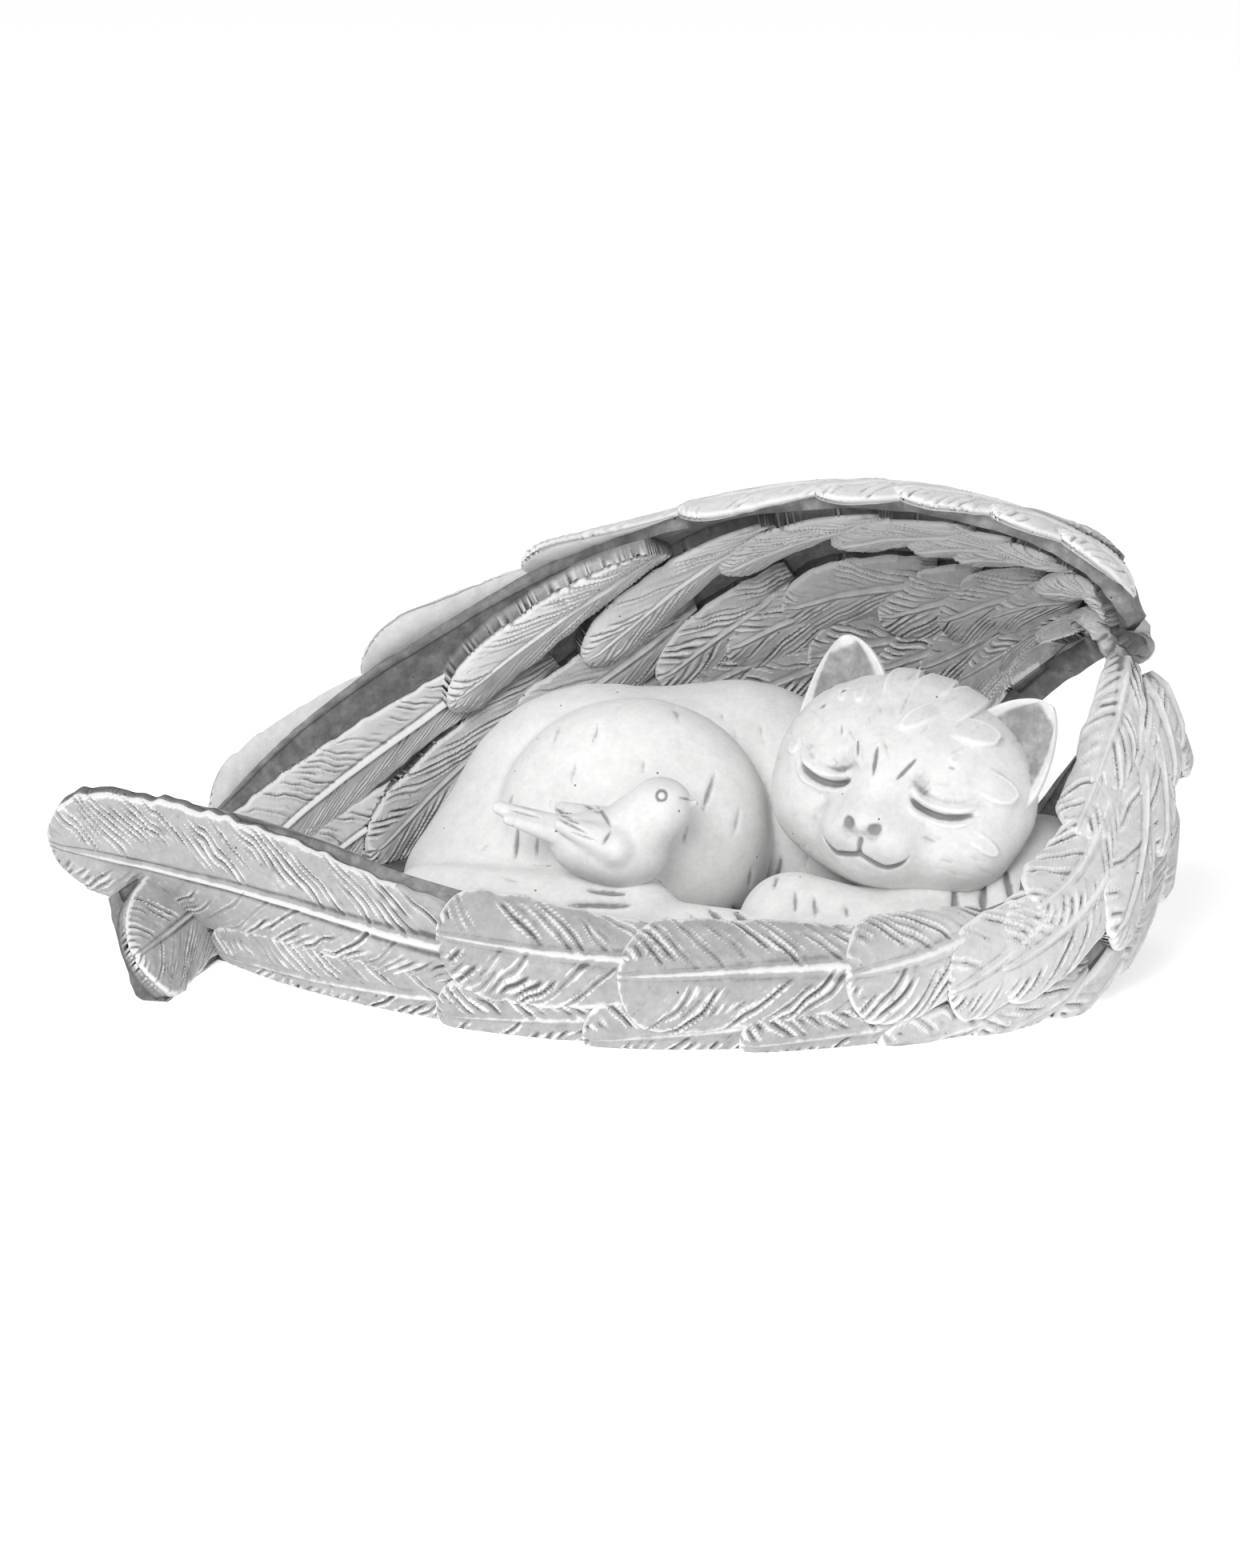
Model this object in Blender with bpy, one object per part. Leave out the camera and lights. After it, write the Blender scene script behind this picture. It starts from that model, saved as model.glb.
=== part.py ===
"""Pet memorial statue: a cat asleep in a pair of folded angel wings, with a small bird on its hind foot.

The whole work is one casting in stone resin. It is built from closed shapes that overlap: two wing shells,
rows of feathers laid on them, the floor, the cat and the bird. A Boolean union makes them one solid, and its
underside is cut flat.

Lengths below are in millimetres. +X points to the cat's head, +Y away from the onlooker, +Z up, and the origin
is on the ground, under the middle of the nest.
"""

import bmesh
import bpy
import numpy as np
from mathutils import Matrix, Vector

MM = 0.001

# Driving sizes
SHELL_THICKNESS = 6.4
FEATHER_LIFT = 2.3
FEATHER_CROWN = 1.3
FEATHER_EDGE = 0.5
BURIED = 2.2
PRIMARY_LIFT = 2.6
FLOOR_THICKNESS = 9.0
BELOW_GROUND = 6.0
MOST_TRIANGLES = 9700
STONE_COLOUR = (0.74, 0.74, 0.73, 1.0)

# The wings are two curved sheets. Each row is one section of a sheet, from its foot to its rim, as the four
# points of a Bezier. The rows run from the shoulder, by the cat's head, to the tips of the long feathers.
REAR_SHEET = [
    [[108, 22, 64], [114, 20, 68], [117, 10, 74], [114, -6, 77]],
    [[92, 42, 44], [110, 44, 66], [114, 28, 90], [104, -8, 89]],
    [[70, 56, 2], [88, 74, 50], [88, 62, 100], [86, 0, 97]],
    [[38, 60, -4], [52, 82, 42], [54, 70, 102], [56, 14, 100]],
    [[6, 58, -4], [16, 76, 34], [22, 72, 90], [22, 32, 93]],
    [[-28, 50, -4], [-22, 64, 26], [-14, 62, 66], [-12, 42, 80]],
    [[-58, 38, -4], [-54, 50, 20], [-48, 50, 46], [-44, 42, 62]],
    [[-82, 14, -4], [-80, 22, 12], [-76, 28, 28], [-74, 30, 43]],
    [[-96, -18, -4], [-96, -12, 6], [-96, -2, 14], [-98, 4, 24]],
    [[-103, -46, -3], [-107, -43, 3], [-112, -37, 10], [-116, -31, 18]],
]
FRONT_SHEET = [
    [[84, 46, -3], [92, 46, 6], [94, 42, 12], [95, 38, 16]],
    [[100, 26, -3], [108, 30, 12], [110, 26, 28], [106, 22, 40]],
    [[106, 4, -3], [120, 6, 16], [124, 2, 44], [115, 4, 60]],
    [[103, -22, -3], [116, -24, 14], [118, -22, 38], [110, -14, 50]],
    [[88, -44, -3], [99, -50, 8], [101, -46, 24], [95, -38, 29]],
    [[62, -57, -3], [68, -64, 6], [70, -62, 18], [66, -55, 21]],
    [[28, -64, -3], [30, -70, 6], [32, -68, 18], [31, -60, 21]],
    [[-6, -60, -3], [-6, -66, 6], [-6, -64, 18], [-6, -57, 23]],
    [[-38, -46, -3], [-39, -52, 10], [-40, -52, 22], [-40, -47, 29]],
    [[-66, -26, 0], [-67, -32, 10], [-68, -34, 24], [-69, -30, 35]],
    [[-90, -4, 6], [-92, -14, 12], [-94, -18, 26], [-95, -18, 38]],
    [[-116, 8, 14], [-120, -4, 18], [-122, -8, 30], [-123, -10, 39]],
]
INWARD = {"rear": -1, "front": 1}

# Feathers, as root and tip on the sheet (share of its length, share of its height) and width. The rows on one
# side lie like tiles: each row overlaps the one below it, and each tip the next root.
REAR_INNER_ROWS = [
    [
        ((0.04, 0.72), (0.160, 0.50), 16),
        ((0.14, 0.78), (0.250, 0.66), 18),
        ((0.195, 0.76), (0.288, 0.66), 20),
        ((0.235, 0.74), (0.350, 0.69), 20),
        ((0.31, 0.78), (0.442, 0.69), 19),
        ((0.40, 0.88), (0.538, 0.60), 19),
        ((0.49, 0.96), (0.652, 0.71), 19),
    ],
    [
        ((0.00, 0.62), (0.014, 0.14), 13),
        ((0.01, 0.40), (0.096, 0.18), 15),
        ((0.10, 0.52), (0.196, 0.46), 17),
        ((0.155, 0.54), (0.252, 0.47), 21),
        ((0.215, 0.54), (0.300, 0.48), 19),
        ((0.26, 0.56), (0.380, 0.53), 18),
        ((0.33, 0.52), (0.422, 0.46), 19),
        ((0.37, 0.58), (0.474, 0.44), 18),
        ((0.45, 0.58), (0.590, 0.42), 20),
        ((0.55, 0.58), (0.700, 0.22), 20),
    ],
    [
        ((0.09, 0.32), (0.160, 0.26), 15),
        ((0.13, 0.30), (0.214, 0.31), 18),
        ((0.19, 0.40), (0.260, 0.36), 16),
        ((0.235, 0.40), (0.294, 0.36), 15),
        ((0.27, 0.42), (0.350, 0.40), 17),
        ((0.32, 0.38), (0.406, 0.34), 18),
        ((0.37, 0.42), (0.450, 0.38), 16),
        ((0.44, 0.38), (0.560, 0.26), 20),
    ],
    [
        ((0.05, 0.14), (0.120, 0.08), 14),
        ((0.10, 0.16), (0.190, 0.14), 16),
        ((0.17, 0.24), (0.250, 0.20), 17),
        ((0.24, 0.26), (0.330, 0.22), 18),
        ((0.31, 0.24), (0.410, 0.20), 18),
        ((0.40, 0.24), (0.510, 0.16), 18),
    ],
]
REAR_PRIMARIES = [
    ((0.56, 0.70), (0.995, 0.50), 30),
    ((0.57, 0.42), (0.83, 0.22), 20),
]
RIM_FEATHERS = [
    ((0.03, 0.86), (0.168, 1.00), 15),
    ((0.10, 0.90), (0.240, 1.01), 15),
    ((0.18, 0.92), (0.315, 1.01), 16),
    ((0.24, 0.92), (0.372, 1.02), 16),
    ((0.32, 0.92), (0.470, 1.04), 16),
    ((0.43, 0.90), (0.590, 1.06), 16),
    ((0.53, 0.88), (0.722, 1.08), 16),
    ((0.66, 0.84), (0.86, 1.02), 15),
]
FRONT_TOP_ROW = [
    ((0.15, 0.92), (0.205, 0.66), 15),
    ((0.195, 1.02), (0.226, 0.80), 15),
    ((0.210, 1.12), (0.316, 1.03), 12),
    ((0.215, 1.04), (0.258, 0.75), 18),
    ((0.260, 1.08), (0.346, 1.00), 12),
    ((0.235, 1.02), (0.294, 0.62), 18),
    ((0.290, 1.00), (0.400, 0.80), 15),
    ((0.265, 0.95), (0.352, 0.52), 19),
    ((0.325, 0.82), (0.428, 0.56), 17),
    ((0.370, 0.84), (0.455, 0.50), 16),
    ((0.425, 0.80), (0.508, 0.62), 17),
    ((0.475, 0.70), (0.620, 0.60), 19),
    ((0.575, 0.70), (0.718, 0.68), 19),
]
FRONT_LOW_ROW = [
    ((0.12, 0.50), (0.185, 0.22), 15),
    ((0.20, 0.60), (0.250, 0.34), 16),
    ((0.245, 0.56), (0.325, 0.28), 16),
    ((0.300, 0.42), (0.368, 0.12), 14),
    ((0.355, 0.36), (0.430, 0.14), 12),
    ((0.410, 0.28), (0.485, 0.18), 11),
    ((0.465, 0.32), (0.556, 0.22), 13),
    ((0.530, 0.34), (0.638, 0.22), 14),
    ((0.610, 0.36), (0.722, 0.20), 14),
    ((0.680, 0.30), (0.900, 0.12), 16),
]
FRONT_PRIMARY = ((0.66, 0.56), (1.012, 0.69), 30)
FRONT_INNER_ROW = [
    ((0.10, 0.90), (0.165, 0.60), 12),
    ((0.17, 0.95), (0.225, 0.66), 12),
    ((0.23, 0.90), (0.285, 0.60), 12),
    ((0.28, 0.80), (0.345, 0.50), 12),
]
BACK_ROWS = [(0.72, 9, 20), (0.48, 9, 21), (0.24, 8, 21)]

# The cat: body masses as centre and radii, limbs as two ends and two radii
TORSO = [
    ((-22, -6, 16), (27, 27, 20)),
    ((-4, 6, 27), (34, 28, 32)),
    ((26, 14, 27), (32, 23, 31)),
    ((54, 0, 26), (26, 22, 25)),
]
THIGH = ((3, -13, 30), (31, 23, 31))
HIND_FOOT = ((-42, -30, 19), 9.0, (2, -41, 20), 8.5)
HIND_TOES = ((5, -43, 19), (9, 8, 8.5))
TAIL_TIP = ((10, -44, 15), 9.0, (28, -47, 14), 8.5)
FORELEG = ((38, -38, 16), 12.5, (66, -48, 14), 10.0)
FORE_TOES = ((62, -50, 14), (70, -51, 14), (76, -49, 14))
SIDE_TOES = ((77, -42, 17), (84, -41, 18), (91, -37, 19))
SIDE_LEG = ((92, -22, 24), 13.0, (84, -36, 18), 11.0)
TOE_RADII = (5.5, 8, 8)
HEAD_CENTRE = (65, -25, 45)
HEAD_RADII = (28.5, 23, 23.5)
HEAD_YAW = -17
HEAD_ROLL = 17
HEAD_TIP = 16
# Forms of the face, in millimetres to the side and up from the head's centre, then their spread to the side
# and up, and how far they stand out
FACE_FORMS = [
    (5.5, -13.5, 4.6, 4.2, 4.5),
    (0.0, -8.0, 3.2, 5.5, 4.0),
    (0.0, -10.5, 2.6, 2.2, 2.2),
    (0.0, -19.5, 5.0, 3.0, 2.6),
    (0.0, 6.0, 8.0, 6.0, 1.2),
    (13.5, -3.0, 5.5, 2.6, -2.2),
    (13.5, -6.0, 6.0, 2.0, 1.3),
    (19.0, -12.0, 6.0, 5.0, 1.4),
]
EAR = ((11, 18), (27, 6), (24.5, 28.5))
EAR_THICKNESS = 6.0

# The bird
BIRD_BODY = ((-4, -40, 36.5), (13, 8, 8))
BIRD_HEAD = ((9.3, -40, 45.0), (6.6, 6.2, 6.0))


def smooth_curve(rows, t):
    """Catmull-Rom curve through the rows, at parameters from 0 to 1."""
    rows = np.asarray(rows, float)
    spans = len(rows) - 1
    place = np.asarray(t, float) * spans
    first = np.clip(np.floor(place).astype(int), 0, spans - 1)
    f = (place - first).reshape(place.shape + (1,) * (rows.ndim - 1))
    padded = np.concatenate([[2 * rows[0] - rows[1]], rows, [2 * rows[-1] - rows[-2]]])
    a, b, c, d = (padded[first + k] for k in range(4))
    return b + 0.5 * f * ((c - a) + f * ((2 * a - 5 * b + 4 * c - d) + f * (3 * (b - c) + d - a)))


def sheet_point(sheet, u, v):
    """Point of a wing sheet: u runs from the shoulder to the tips, v from the foot to the rim."""
    u, v = np.broadcast_arrays(np.asarray(u, float), np.asarray(v, float))
    section = smooth_curve(sheet, u)
    w = v[..., None]
    foot, lower, upper, rim = (section[..., k, :] for k in range(4))
    return (1 - w) ** 3 * foot + 3 * (1 - w) ** 2 * w * lower + 3 * (1 - w) * w**2 * upper + w**3 * rim


def sheet_slopes(sheet, u, v):
    """The sheet's two tangents at (u, v)."""
    step = 1e-3
    along = (sheet_point(sheet, u + step, v) - sheet_point(sheet, u - step, v)) / (2 * step)
    across = (sheet_point(sheet, u, v + step) - sheet_point(sheet, u, v - step)) / (2 * step)
    return along, across


def off_sheet(sheet, side, u, v, height):
    """Point at a height above the sheet's middle, on the side given as +1 or -1."""
    along, across = sheet_slopes(sheet, u, v)
    normal = np.cross(along, across)
    normal /= np.linalg.norm(normal, axis=-1, keepdims=True)
    return sheet_point(sheet, u, v) + side * normal * np.asarray(height)[..., None]


def closed_body(name, top, bottom):
    """Closed mesh between two grids of points, with a wall round their edges."""
    rows, columns = top.shape[:2]
    points = np.concatenate([top.reshape(-1, 3), bottom.reshape(-1, 3)])
    under = rows * columns
    at = np.arange(under).reshape(rows, columns)
    faces = []
    for i in range(rows - 1):
        for j in range(columns - 1):
            a, b, c, d = at[i, j], at[i + 1, j], at[i + 1, j + 1], at[i, j + 1]
            faces.append((a, b, c, d))
            faces.append((d + under, c + under, b + under, a + under))
    border = list(at[0, :]) + list(at[1:, -1]) + list(at[-1, -2::-1]) + list(at[-2:0:-1, 0])
    for a, b in zip(border, border[1:] + border[:1]):
        faces.append((a, b, b + under, a + under))
    return solid(name, points, faces)


def solid(name, points, faces):
    """Hidden helper object from points in millimetres, its faces turned outwards."""
    mesh = bpy.data.meshes.new(name)
    mesh.from_pydata([tuple(p) for p in np.asarray(points) * MM], [], [tuple(int(k) for k in f) for f in faces])
    work = bmesh.new()
    work.from_mesh(mesh)
    bmesh.ops.recalc_face_normals(work, faces=work.faces)
    if work.calc_volume(signed=True) < 0:
        bmesh.ops.reverse_faces(work, faces=work.faces)
    work.to_mesh(mesh)
    work.free()
    obj = bpy.data.objects.new(name, mesh)
    obj.hide_render = True
    obj.display_type = "WIRE"
    helpers.objects.link(obj)
    return obj


def feather(name, sheet, side, root, tip, width, base, lift, rows=6):
    """One feather on a sheet: narrow at its root, broad and round at its tip, arched across, rising to its tip."""
    root, tip = np.array(root), np.array(tip)
    along, across = sheet_slopes(sheet, *((root + tip) / 2))
    length = np.linalg.norm((tip - root) * (np.linalg.norm(along), np.linalg.norm(across)))
    shoulder = max(0.5, 1 - 0.55 * width / length)
    t = np.append(np.linspace(0, shoulder, rows - 2), [shoulder + 0.62 * (1 - shoulder), 0.995])[:, None]
    q = np.linspace(-1, 1, 5)[None, :]
    round_tip = np.sqrt(np.clip(1 - ((t - shoulder) / (1 - shoulder)) ** 2, 0, 1))
    half = width / 2 * np.where(t < shoulder, 0.45 + 0.55 * np.sin(t / shoulder * np.pi / 2), round_tip)
    middle_u = root[0] + (tip - root)[0] * t
    middle_v = root[1] + (tip - root)[1] * t
    along, across = sheet_slopes(sheet, middle_u, middle_v)
    length_u, length_v = np.linalg.norm(along, axis=-1), np.linalg.norm(across, axis=-1)
    heading = np.arctan2((tip - root)[1] * length_v, (tip - root)[0] * length_u)
    place_u = middle_u - np.sin(heading) / length_u * q * half
    place_v = middle_v + np.cos(heading) / length_v * q * half
    surface = SHELL_THICKNESS / 2 + base + lift * t + FEATHER_CROWN * (1 - q**2) * np.minimum(1, 4 * t)
    surface = np.maximum(surface, SHELL_THICKNESS / 2 + FEATHER_EDGE)
    top = off_sheet(sheet, side, place_u, place_v, surface)
    bottom = off_sheet(sheet, side, place_u, place_v, surface * 0 + SHELL_THICKNESS / 2 - BURIED)
    closed_body(name, top, bottom)


def shell(name, sheet, columns, rows, first, last):
    """One wing's shell, the sheet thickened to both sides, tapering at its rim and its tips."""
    u, v = np.meshgrid(np.linspace(first, last, columns), np.linspace(0, 1, rows), indexing="ij")
    half = SHELL_THICKNESS / 2 * (1 - 0.45 * v**4)
    closed_body(name, off_sheet(sheet, 1, u, v, half), off_sheet(sheet, -1, u, v, half))


def ball(name, centre, radii, turn=None, columns=14, rows=8):
    """Ellipsoid as rings between two poles."""
    angle = np.linspace(0, 2 * np.pi, columns, endpoint=False)
    points = [(0, 0, -1)]
    for polar in np.linspace(-np.pi / 2, np.pi / 2, rows + 1)[1:-1]:
        points += [(np.cos(polar) * np.cos(a), np.cos(polar) * np.sin(a), np.sin(polar)) for a in angle]
    points.append((0, 0, 1))
    faces = []
    for j in range(columns):
        k = (j + 1) % columns
        faces.append((0, 1 + k, 1 + j))
        for i in range(rows - 2):
            low = 1 + i * columns
            faces.append((low + j, low + k, low + columns + k, low + columns + j))
        faces.append((len(points) - 1, len(points) - 1 - columns + j, len(points) - 1 - columns + k))
    shape = np.array(points) * radii
    if turn is not None:
        shape = shape @ np.array(turn).T
    return solid(name, shape + centre, faces)


def limb(name, start, start_radius, end, end_radius, columns=12, flatten=1.0):
    """Tapered limb with rounded ends between two points."""
    start, end = Vector(start), Vector(end)
    axis = (end - start).normalized()
    up = Vector((0, 0, 1))
    side = axis.cross(up).normalized()
    up = side.cross(axis)
    rings = []
    for turn in (0.12, 0.5, 0.9):
        bend = turn * np.pi / 2
        rings.append((start - axis * start_radius * float(np.cos(bend)), start_radius * np.sin(bend)))
    for turn in (0.9, 0.5, 0.12):
        bend = turn * np.pi / 2
        rings.append((end + axis * end_radius * float(np.cos(bend)), end_radius * np.sin(bend)))
    points = []
    for centre, radius in rings:
        for k in range(columns):
            a = 2 * np.pi * k / columns
            points.append(centre + float(radius) * (float(np.cos(a)) * side + float(np.sin(a)) * flatten * up))
    faces = []
    for i in range(len(rings) - 1):
        for j in range(columns):
            k = (j + 1) % columns
            faces.append((i * columns + j, i * columns + k, (i + 1) * columns + k, (i + 1) * columns + j))
    faces.append(tuple(range(columns)))
    faces.append(tuple(range(len(points) - 1, len(points) - 1 - columns, -1)))
    return solid(name, np.array(points), faces)


bpy.context.scene.unit_settings.scale_length = 1.0
for old in list(bpy.data.objects):
    bpy.data.objects.remove(old)
helpers = bpy.data.collections.new("shapes")
bpy.context.scene.collection.children.link(helpers)

# Wing shells
shell("rear_shell", REAR_SHEET, 26, 7, 0.0, 0.97)
shell("front_shell", FRONT_SHEET, 30, 5, 0.0, 0.97)

# Feathers of the rear wing's inner side
for row, feathers in enumerate(REAR_INNER_ROWS):
    for number, (root, tip, width) in enumerate(feathers):
        base = 2.4 - 0.8 * row
        feather(f"rear_{row}_{number}", REAR_SHEET, INWARD["rear"], root, tip, width, base, FEATHER_LIFT)
for number, (root, tip, width) in enumerate(REAR_PRIMARIES):
    feather(f"rear_primary_{number}", REAR_SHEET, INWARD["rear"], root, tip, width, 0.4, 1.6, 9)

# Feathers that show along the rear wing's rim, and plainer rows on its back
for number, (root, tip, width) in enumerate(RIM_FEATHERS):
    feather(f"rim_{number}", REAR_SHEET, -INWARD["rear"], root, tip, width, 0.8, FEATHER_LIFT)
for row, (height, count, width) in enumerate(BACK_ROWS):
    for number in range(count):
        start = 0.10 + 0.04 * (row % 2) + number * 0.72 / count
        tip = (start + 0.155, height - 0.10)
        base = 0.9 - 0.4 * row
        feather(f"back_{row}_{number}", REAR_SHEET, -INWARD["rear"], (start, height), tip, width, base, 2.0, 5)

# Feathers of the front wing
for number, (root, tip, width) in enumerate(FRONT_LOW_ROW):
    feather(f"low_{number}", FRONT_SHEET, -INWARD["front"], root, tip, width, 0.2, FEATHER_LIFT)
for number, (root, tip, width) in enumerate(FRONT_TOP_ROW):
    feather(f"top_{number}", FRONT_SHEET, -INWARD["front"], root, tip, width, 1.4, FEATHER_LIFT)
for number, (root, tip, width) in enumerate(FRONT_INNER_ROW):
    feather(f"inside_{number}", FRONT_SHEET, INWARD["front"], root, tip, width, 0.6, 1.6, 5)
root, tip, width = FRONT_PRIMARY
feather("front_primary", FRONT_SHEET, -INWARD["front"], root, tip, width, 0.4, PRIMARY_LIFT, 10)

# Floor that joins the wings and the cat
u = np.linspace(0.02, 0.80, 16)
edge = np.concatenate([sheet_point(FRONT_SHEET, u, 0.12), sheet_point(REAR_SHEET, np.linspace(0.86, 0.24, 12), 0.04)])
outline = edge[:, :2]
low = np.column_stack([outline, np.full(len(outline), -BELOW_GROUND)])
high = np.column_stack([outline * 0.985, np.full(len(outline), FLOOR_THICKNESS)])
count = len(outline)
sides = [(k, (k + 1) % count, (k + 1) % count + count, k + count) for k in range(count)]
solid("floor", np.concatenate([low, high]), sides + [tuple(range(count)), tuple(range(2 * count - 1, count - 1, -1))])

# Cat
for number, (centre, radii) in enumerate(TORSO):
    ball(f"torso_{number}", centre, radii, columns=18, rows=10)
ball("thigh", *THIGH, columns=20, rows=12)
limb("hind_foot", *HIND_FOOT)
ball("hind_toes", *HIND_TOES)
limb("tail_tip", *TAIL_TIP)
limb("foreleg", *FORELEG)
limb("side_leg", *SIDE_LEG)
for number, centre in enumerate(FORE_TOES + SIDE_TOES):
    ball(f"toe_{number}", centre, TOE_RADII, columns=10, rows=6)

roll = Matrix.Rotation(np.radians(HEAD_ROLL), 3, "Y")
tilt = Matrix.Rotation(np.radians(-HEAD_TIP), 3, "X")
yaw = Matrix.Rotation(np.radians(HEAD_YAW), 3, "Z")
face = np.array(tilt @ roll @ yaw)


def on_face(points):
    """Points given from the head's centre: to the onlooker's right, towards the nape, and to the crown."""
    return np.asarray(points, float) @ face.T + HEAD_CENTRE


def head_points(turn, height):
    """The head's surface, an ellipsoid with the forms of the face raised or sunk on its front."""
    way = np.stack([np.sin(turn) * np.cos(height), -np.cos(turn) * np.cos(height), np.sin(height)], -1)
    reach = 1 / np.linalg.norm(way / HEAD_RADII, axis=-1)
    x, z = way[..., 0] * reach, way[..., 2] * reach
    front = way[..., 1] < 0
    for side, up, spread_x, spread_z, rise in FACE_FORMS:
        for sign in (-1, 1) if side else (1,):
            form = np.exp(-(((x - sign * side) / spread_x) ** 2) / 2 - ((z - up) / spread_z) ** 2 / 2)
            reach = reach + rise * form * front
    return on_face(way * reach[..., None])


turns = np.linspace(-1, 1, 33)[:-1]
turns = np.pi * (0.55 * turns + 0.45 * turns**3)
heights = np.radians(np.linspace(-72, 72, 19))
rings = head_points(*np.meshgrid(turns, heights, indexing="ij"))
count, levels = rings.shape[:2]
points = list(rings.reshape(-1, 3)) + list(head_points(np.zeros(2), np.array([-np.pi / 2, np.pi / 2])))
faces = []
for i in range(count):
    a, b = i * levels, (i + 1) % count * levels
    faces += [(a + j, b + j, b + j + 1, a + j + 1) for j in range(levels - 1)]
    faces += [(b, a, count * levels), (a + levels - 1, b + levels - 1, count * levels + 1)]
solid("head", points, faces)

inner, outer, peak = (np.array(place) for place in EAR)
t, s = np.meshgrid(np.linspace(0, 0.97, 5), np.linspace(0, 1, 5), indexing="ij")
for name, side in (("ear_left", -1), ("ear_right", 1)):
    root = inner + (outer - inner) * s[..., None] - (0, 5) * (1 - s[..., None]) * 0
    place = root * (1 - t[..., None]) + peak * t[..., None]
    bow = np.sin(np.pi * s) * np.sin(np.pi * np.minimum(1, t * 0.8 + 0.2))
    swell = np.sin(np.pi * t)[..., None] * (s - 0.5)[..., None] * (outer - inner) * 0.25
    place = place + swell
    thick = EAR_THICKNESS * (1 - 0.72 * t)
    front = np.stack([side * place[..., 0], -6 + 6 * t * 0.3 + 2.6 * bow, place[..., 1]], -1)
    back = np.stack([side * place[..., 0], -6 + thick + 5 * (1 - t) + 3 * bow, place[..., 1]], -1)
    front[0, :, 2] -= 7
    back[0, :, 2] -= 7
    closed_body(name, on_face(front), on_face(back))

# Bird
ball("bird_body", *BIRD_BODY)
ball("bird_head", *BIRD_HEAD, columns=12)
limb("bird_tail", (-13, -40, 39.5), 4.2, (-25, -40, 44.3), 2.0, 8, 0.6)
limb("bird_beak", (13.5, -40.5, 45.2), 2.2, (16.8, -40.5, 45.5), 0.5, 8)
limb("bird_wing", (-2, -47, 37.5), 5.0, (-13, -44, 40), 2.4, 10)
limb("bird_far_wing", (-2, -33, 38.5), 5.0, (-13, -36, 41), 2.4, 10)

# Union, then the flat underside
ground = solid("below", *[
    np.array([(x, y, z) for z in (-60, 0) for x, y in ((-200, -150), (200, -150), (200, 150), (-200, 150))], float),
    [(0, 1, 2, 3), (7, 6, 5, 4), (0, 4, 5, 1), (1, 5, 6, 2), (2, 6, 7, 3), (3, 7, 4, 0)],
])
helpers.objects.unlink(ground)
bpy.context.scene.collection.objects.link(ground)

start = bpy.data.objects["floor"]
helpers.objects.unlink(start)
draft = bpy.data.objects.new("draft", start.data)
bpy.data.objects.remove(start)
bpy.context.scene.collection.objects.link(draft)
join = draft.modifiers.new("union", "BOOLEAN")
join.operation = "UNION"
join.solver = "MANIFOLD"
join.operand_type = "COLLECTION"
join.collection = helpers
trim = draft.modifiers.new("underside", "BOOLEAN")
trim.operation = "DIFFERENCE"
trim.solver = "MANIFOLD"
trim.object = ground
bpy.context.view_layer.update()
evaluated = draft.evaluated_get(bpy.context.evaluated_depsgraph_get())
mesh = bpy.data.meshes.new_from_object(evaluated)
mesh.name = "memorial_statue"

# Only the outer body is kept: a pocket closed in between shapes is solid resin
def keep_outer_body(mesh):
    work = bmesh.new()
    work.from_mesh(mesh)
    bmesh.ops.remove_doubles(work, verts=work.verts, dist=2e-5)
    work.faces.ensure_lookup_table()
    seen = set()
    bodies = []
    for face in work.faces:
        if face in seen:
            continue
        body, pending = [], [face]
        seen.add(face)
        while pending:
            item = pending.pop()
            body.append(item)
            for edge in item.edges:
                for other in edge.link_faces:
                    if other not in seen:
                        seen.add(other)
                        pending.append(other)
        bodies.append(body)
    bodies.sort(key=len)
    for body in bodies[:-1]:
        bmesh.ops.delete(work, geom=body, context="FACES")
    bmesh.ops.triangulate(work, faces=work.faces)
    work.to_mesh(mesh)
    triangles = len(work.faces)
    work.free()
    return triangles


triangles = keep_outer_body(mesh)
full = bpy.data.objects.new("full", mesh)
bpy.context.scene.collection.objects.link(full)
thin = full.modifiers.new("thin", "DECIMATE")
thin.ratio = min(1.0, MOST_TRIANGLES / triangles)
mesh = bpy.data.meshes.new_from_object(full.evaluated_get(bpy.context.evaluated_depsgraph_get()))
mesh.name = "memorial_statue"
bpy.data.objects.remove(full)
keep_outer_body(mesh)
statue = bpy.data.objects.new("memorial_statue", mesh)
bpy.context.scene.collection.objects.link(statue)
bpy.data.objects.remove(draft)
bpy.data.objects.remove(ground)
for helper in list(helpers.objects):
    bpy.data.objects.remove(helper)
bpy.data.collections.remove(helpers)

stone = bpy.data.materials.new("stone_resin")
stone.use_nodes = True
shader = stone.node_tree.nodes["Principled BSDF"]
shader.inputs["Base Color"].default_value = STONE_COLOUR
shader.inputs["Roughness"].default_value = 0.9
mesh.materials.clear()
mesh.materials.append(stone)
for polygon in mesh.polygons:
    polygon.use_smooth = False
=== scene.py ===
import bmesh
import bpy
import numpy as np
from mathutils import Matrix, Vector


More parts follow.
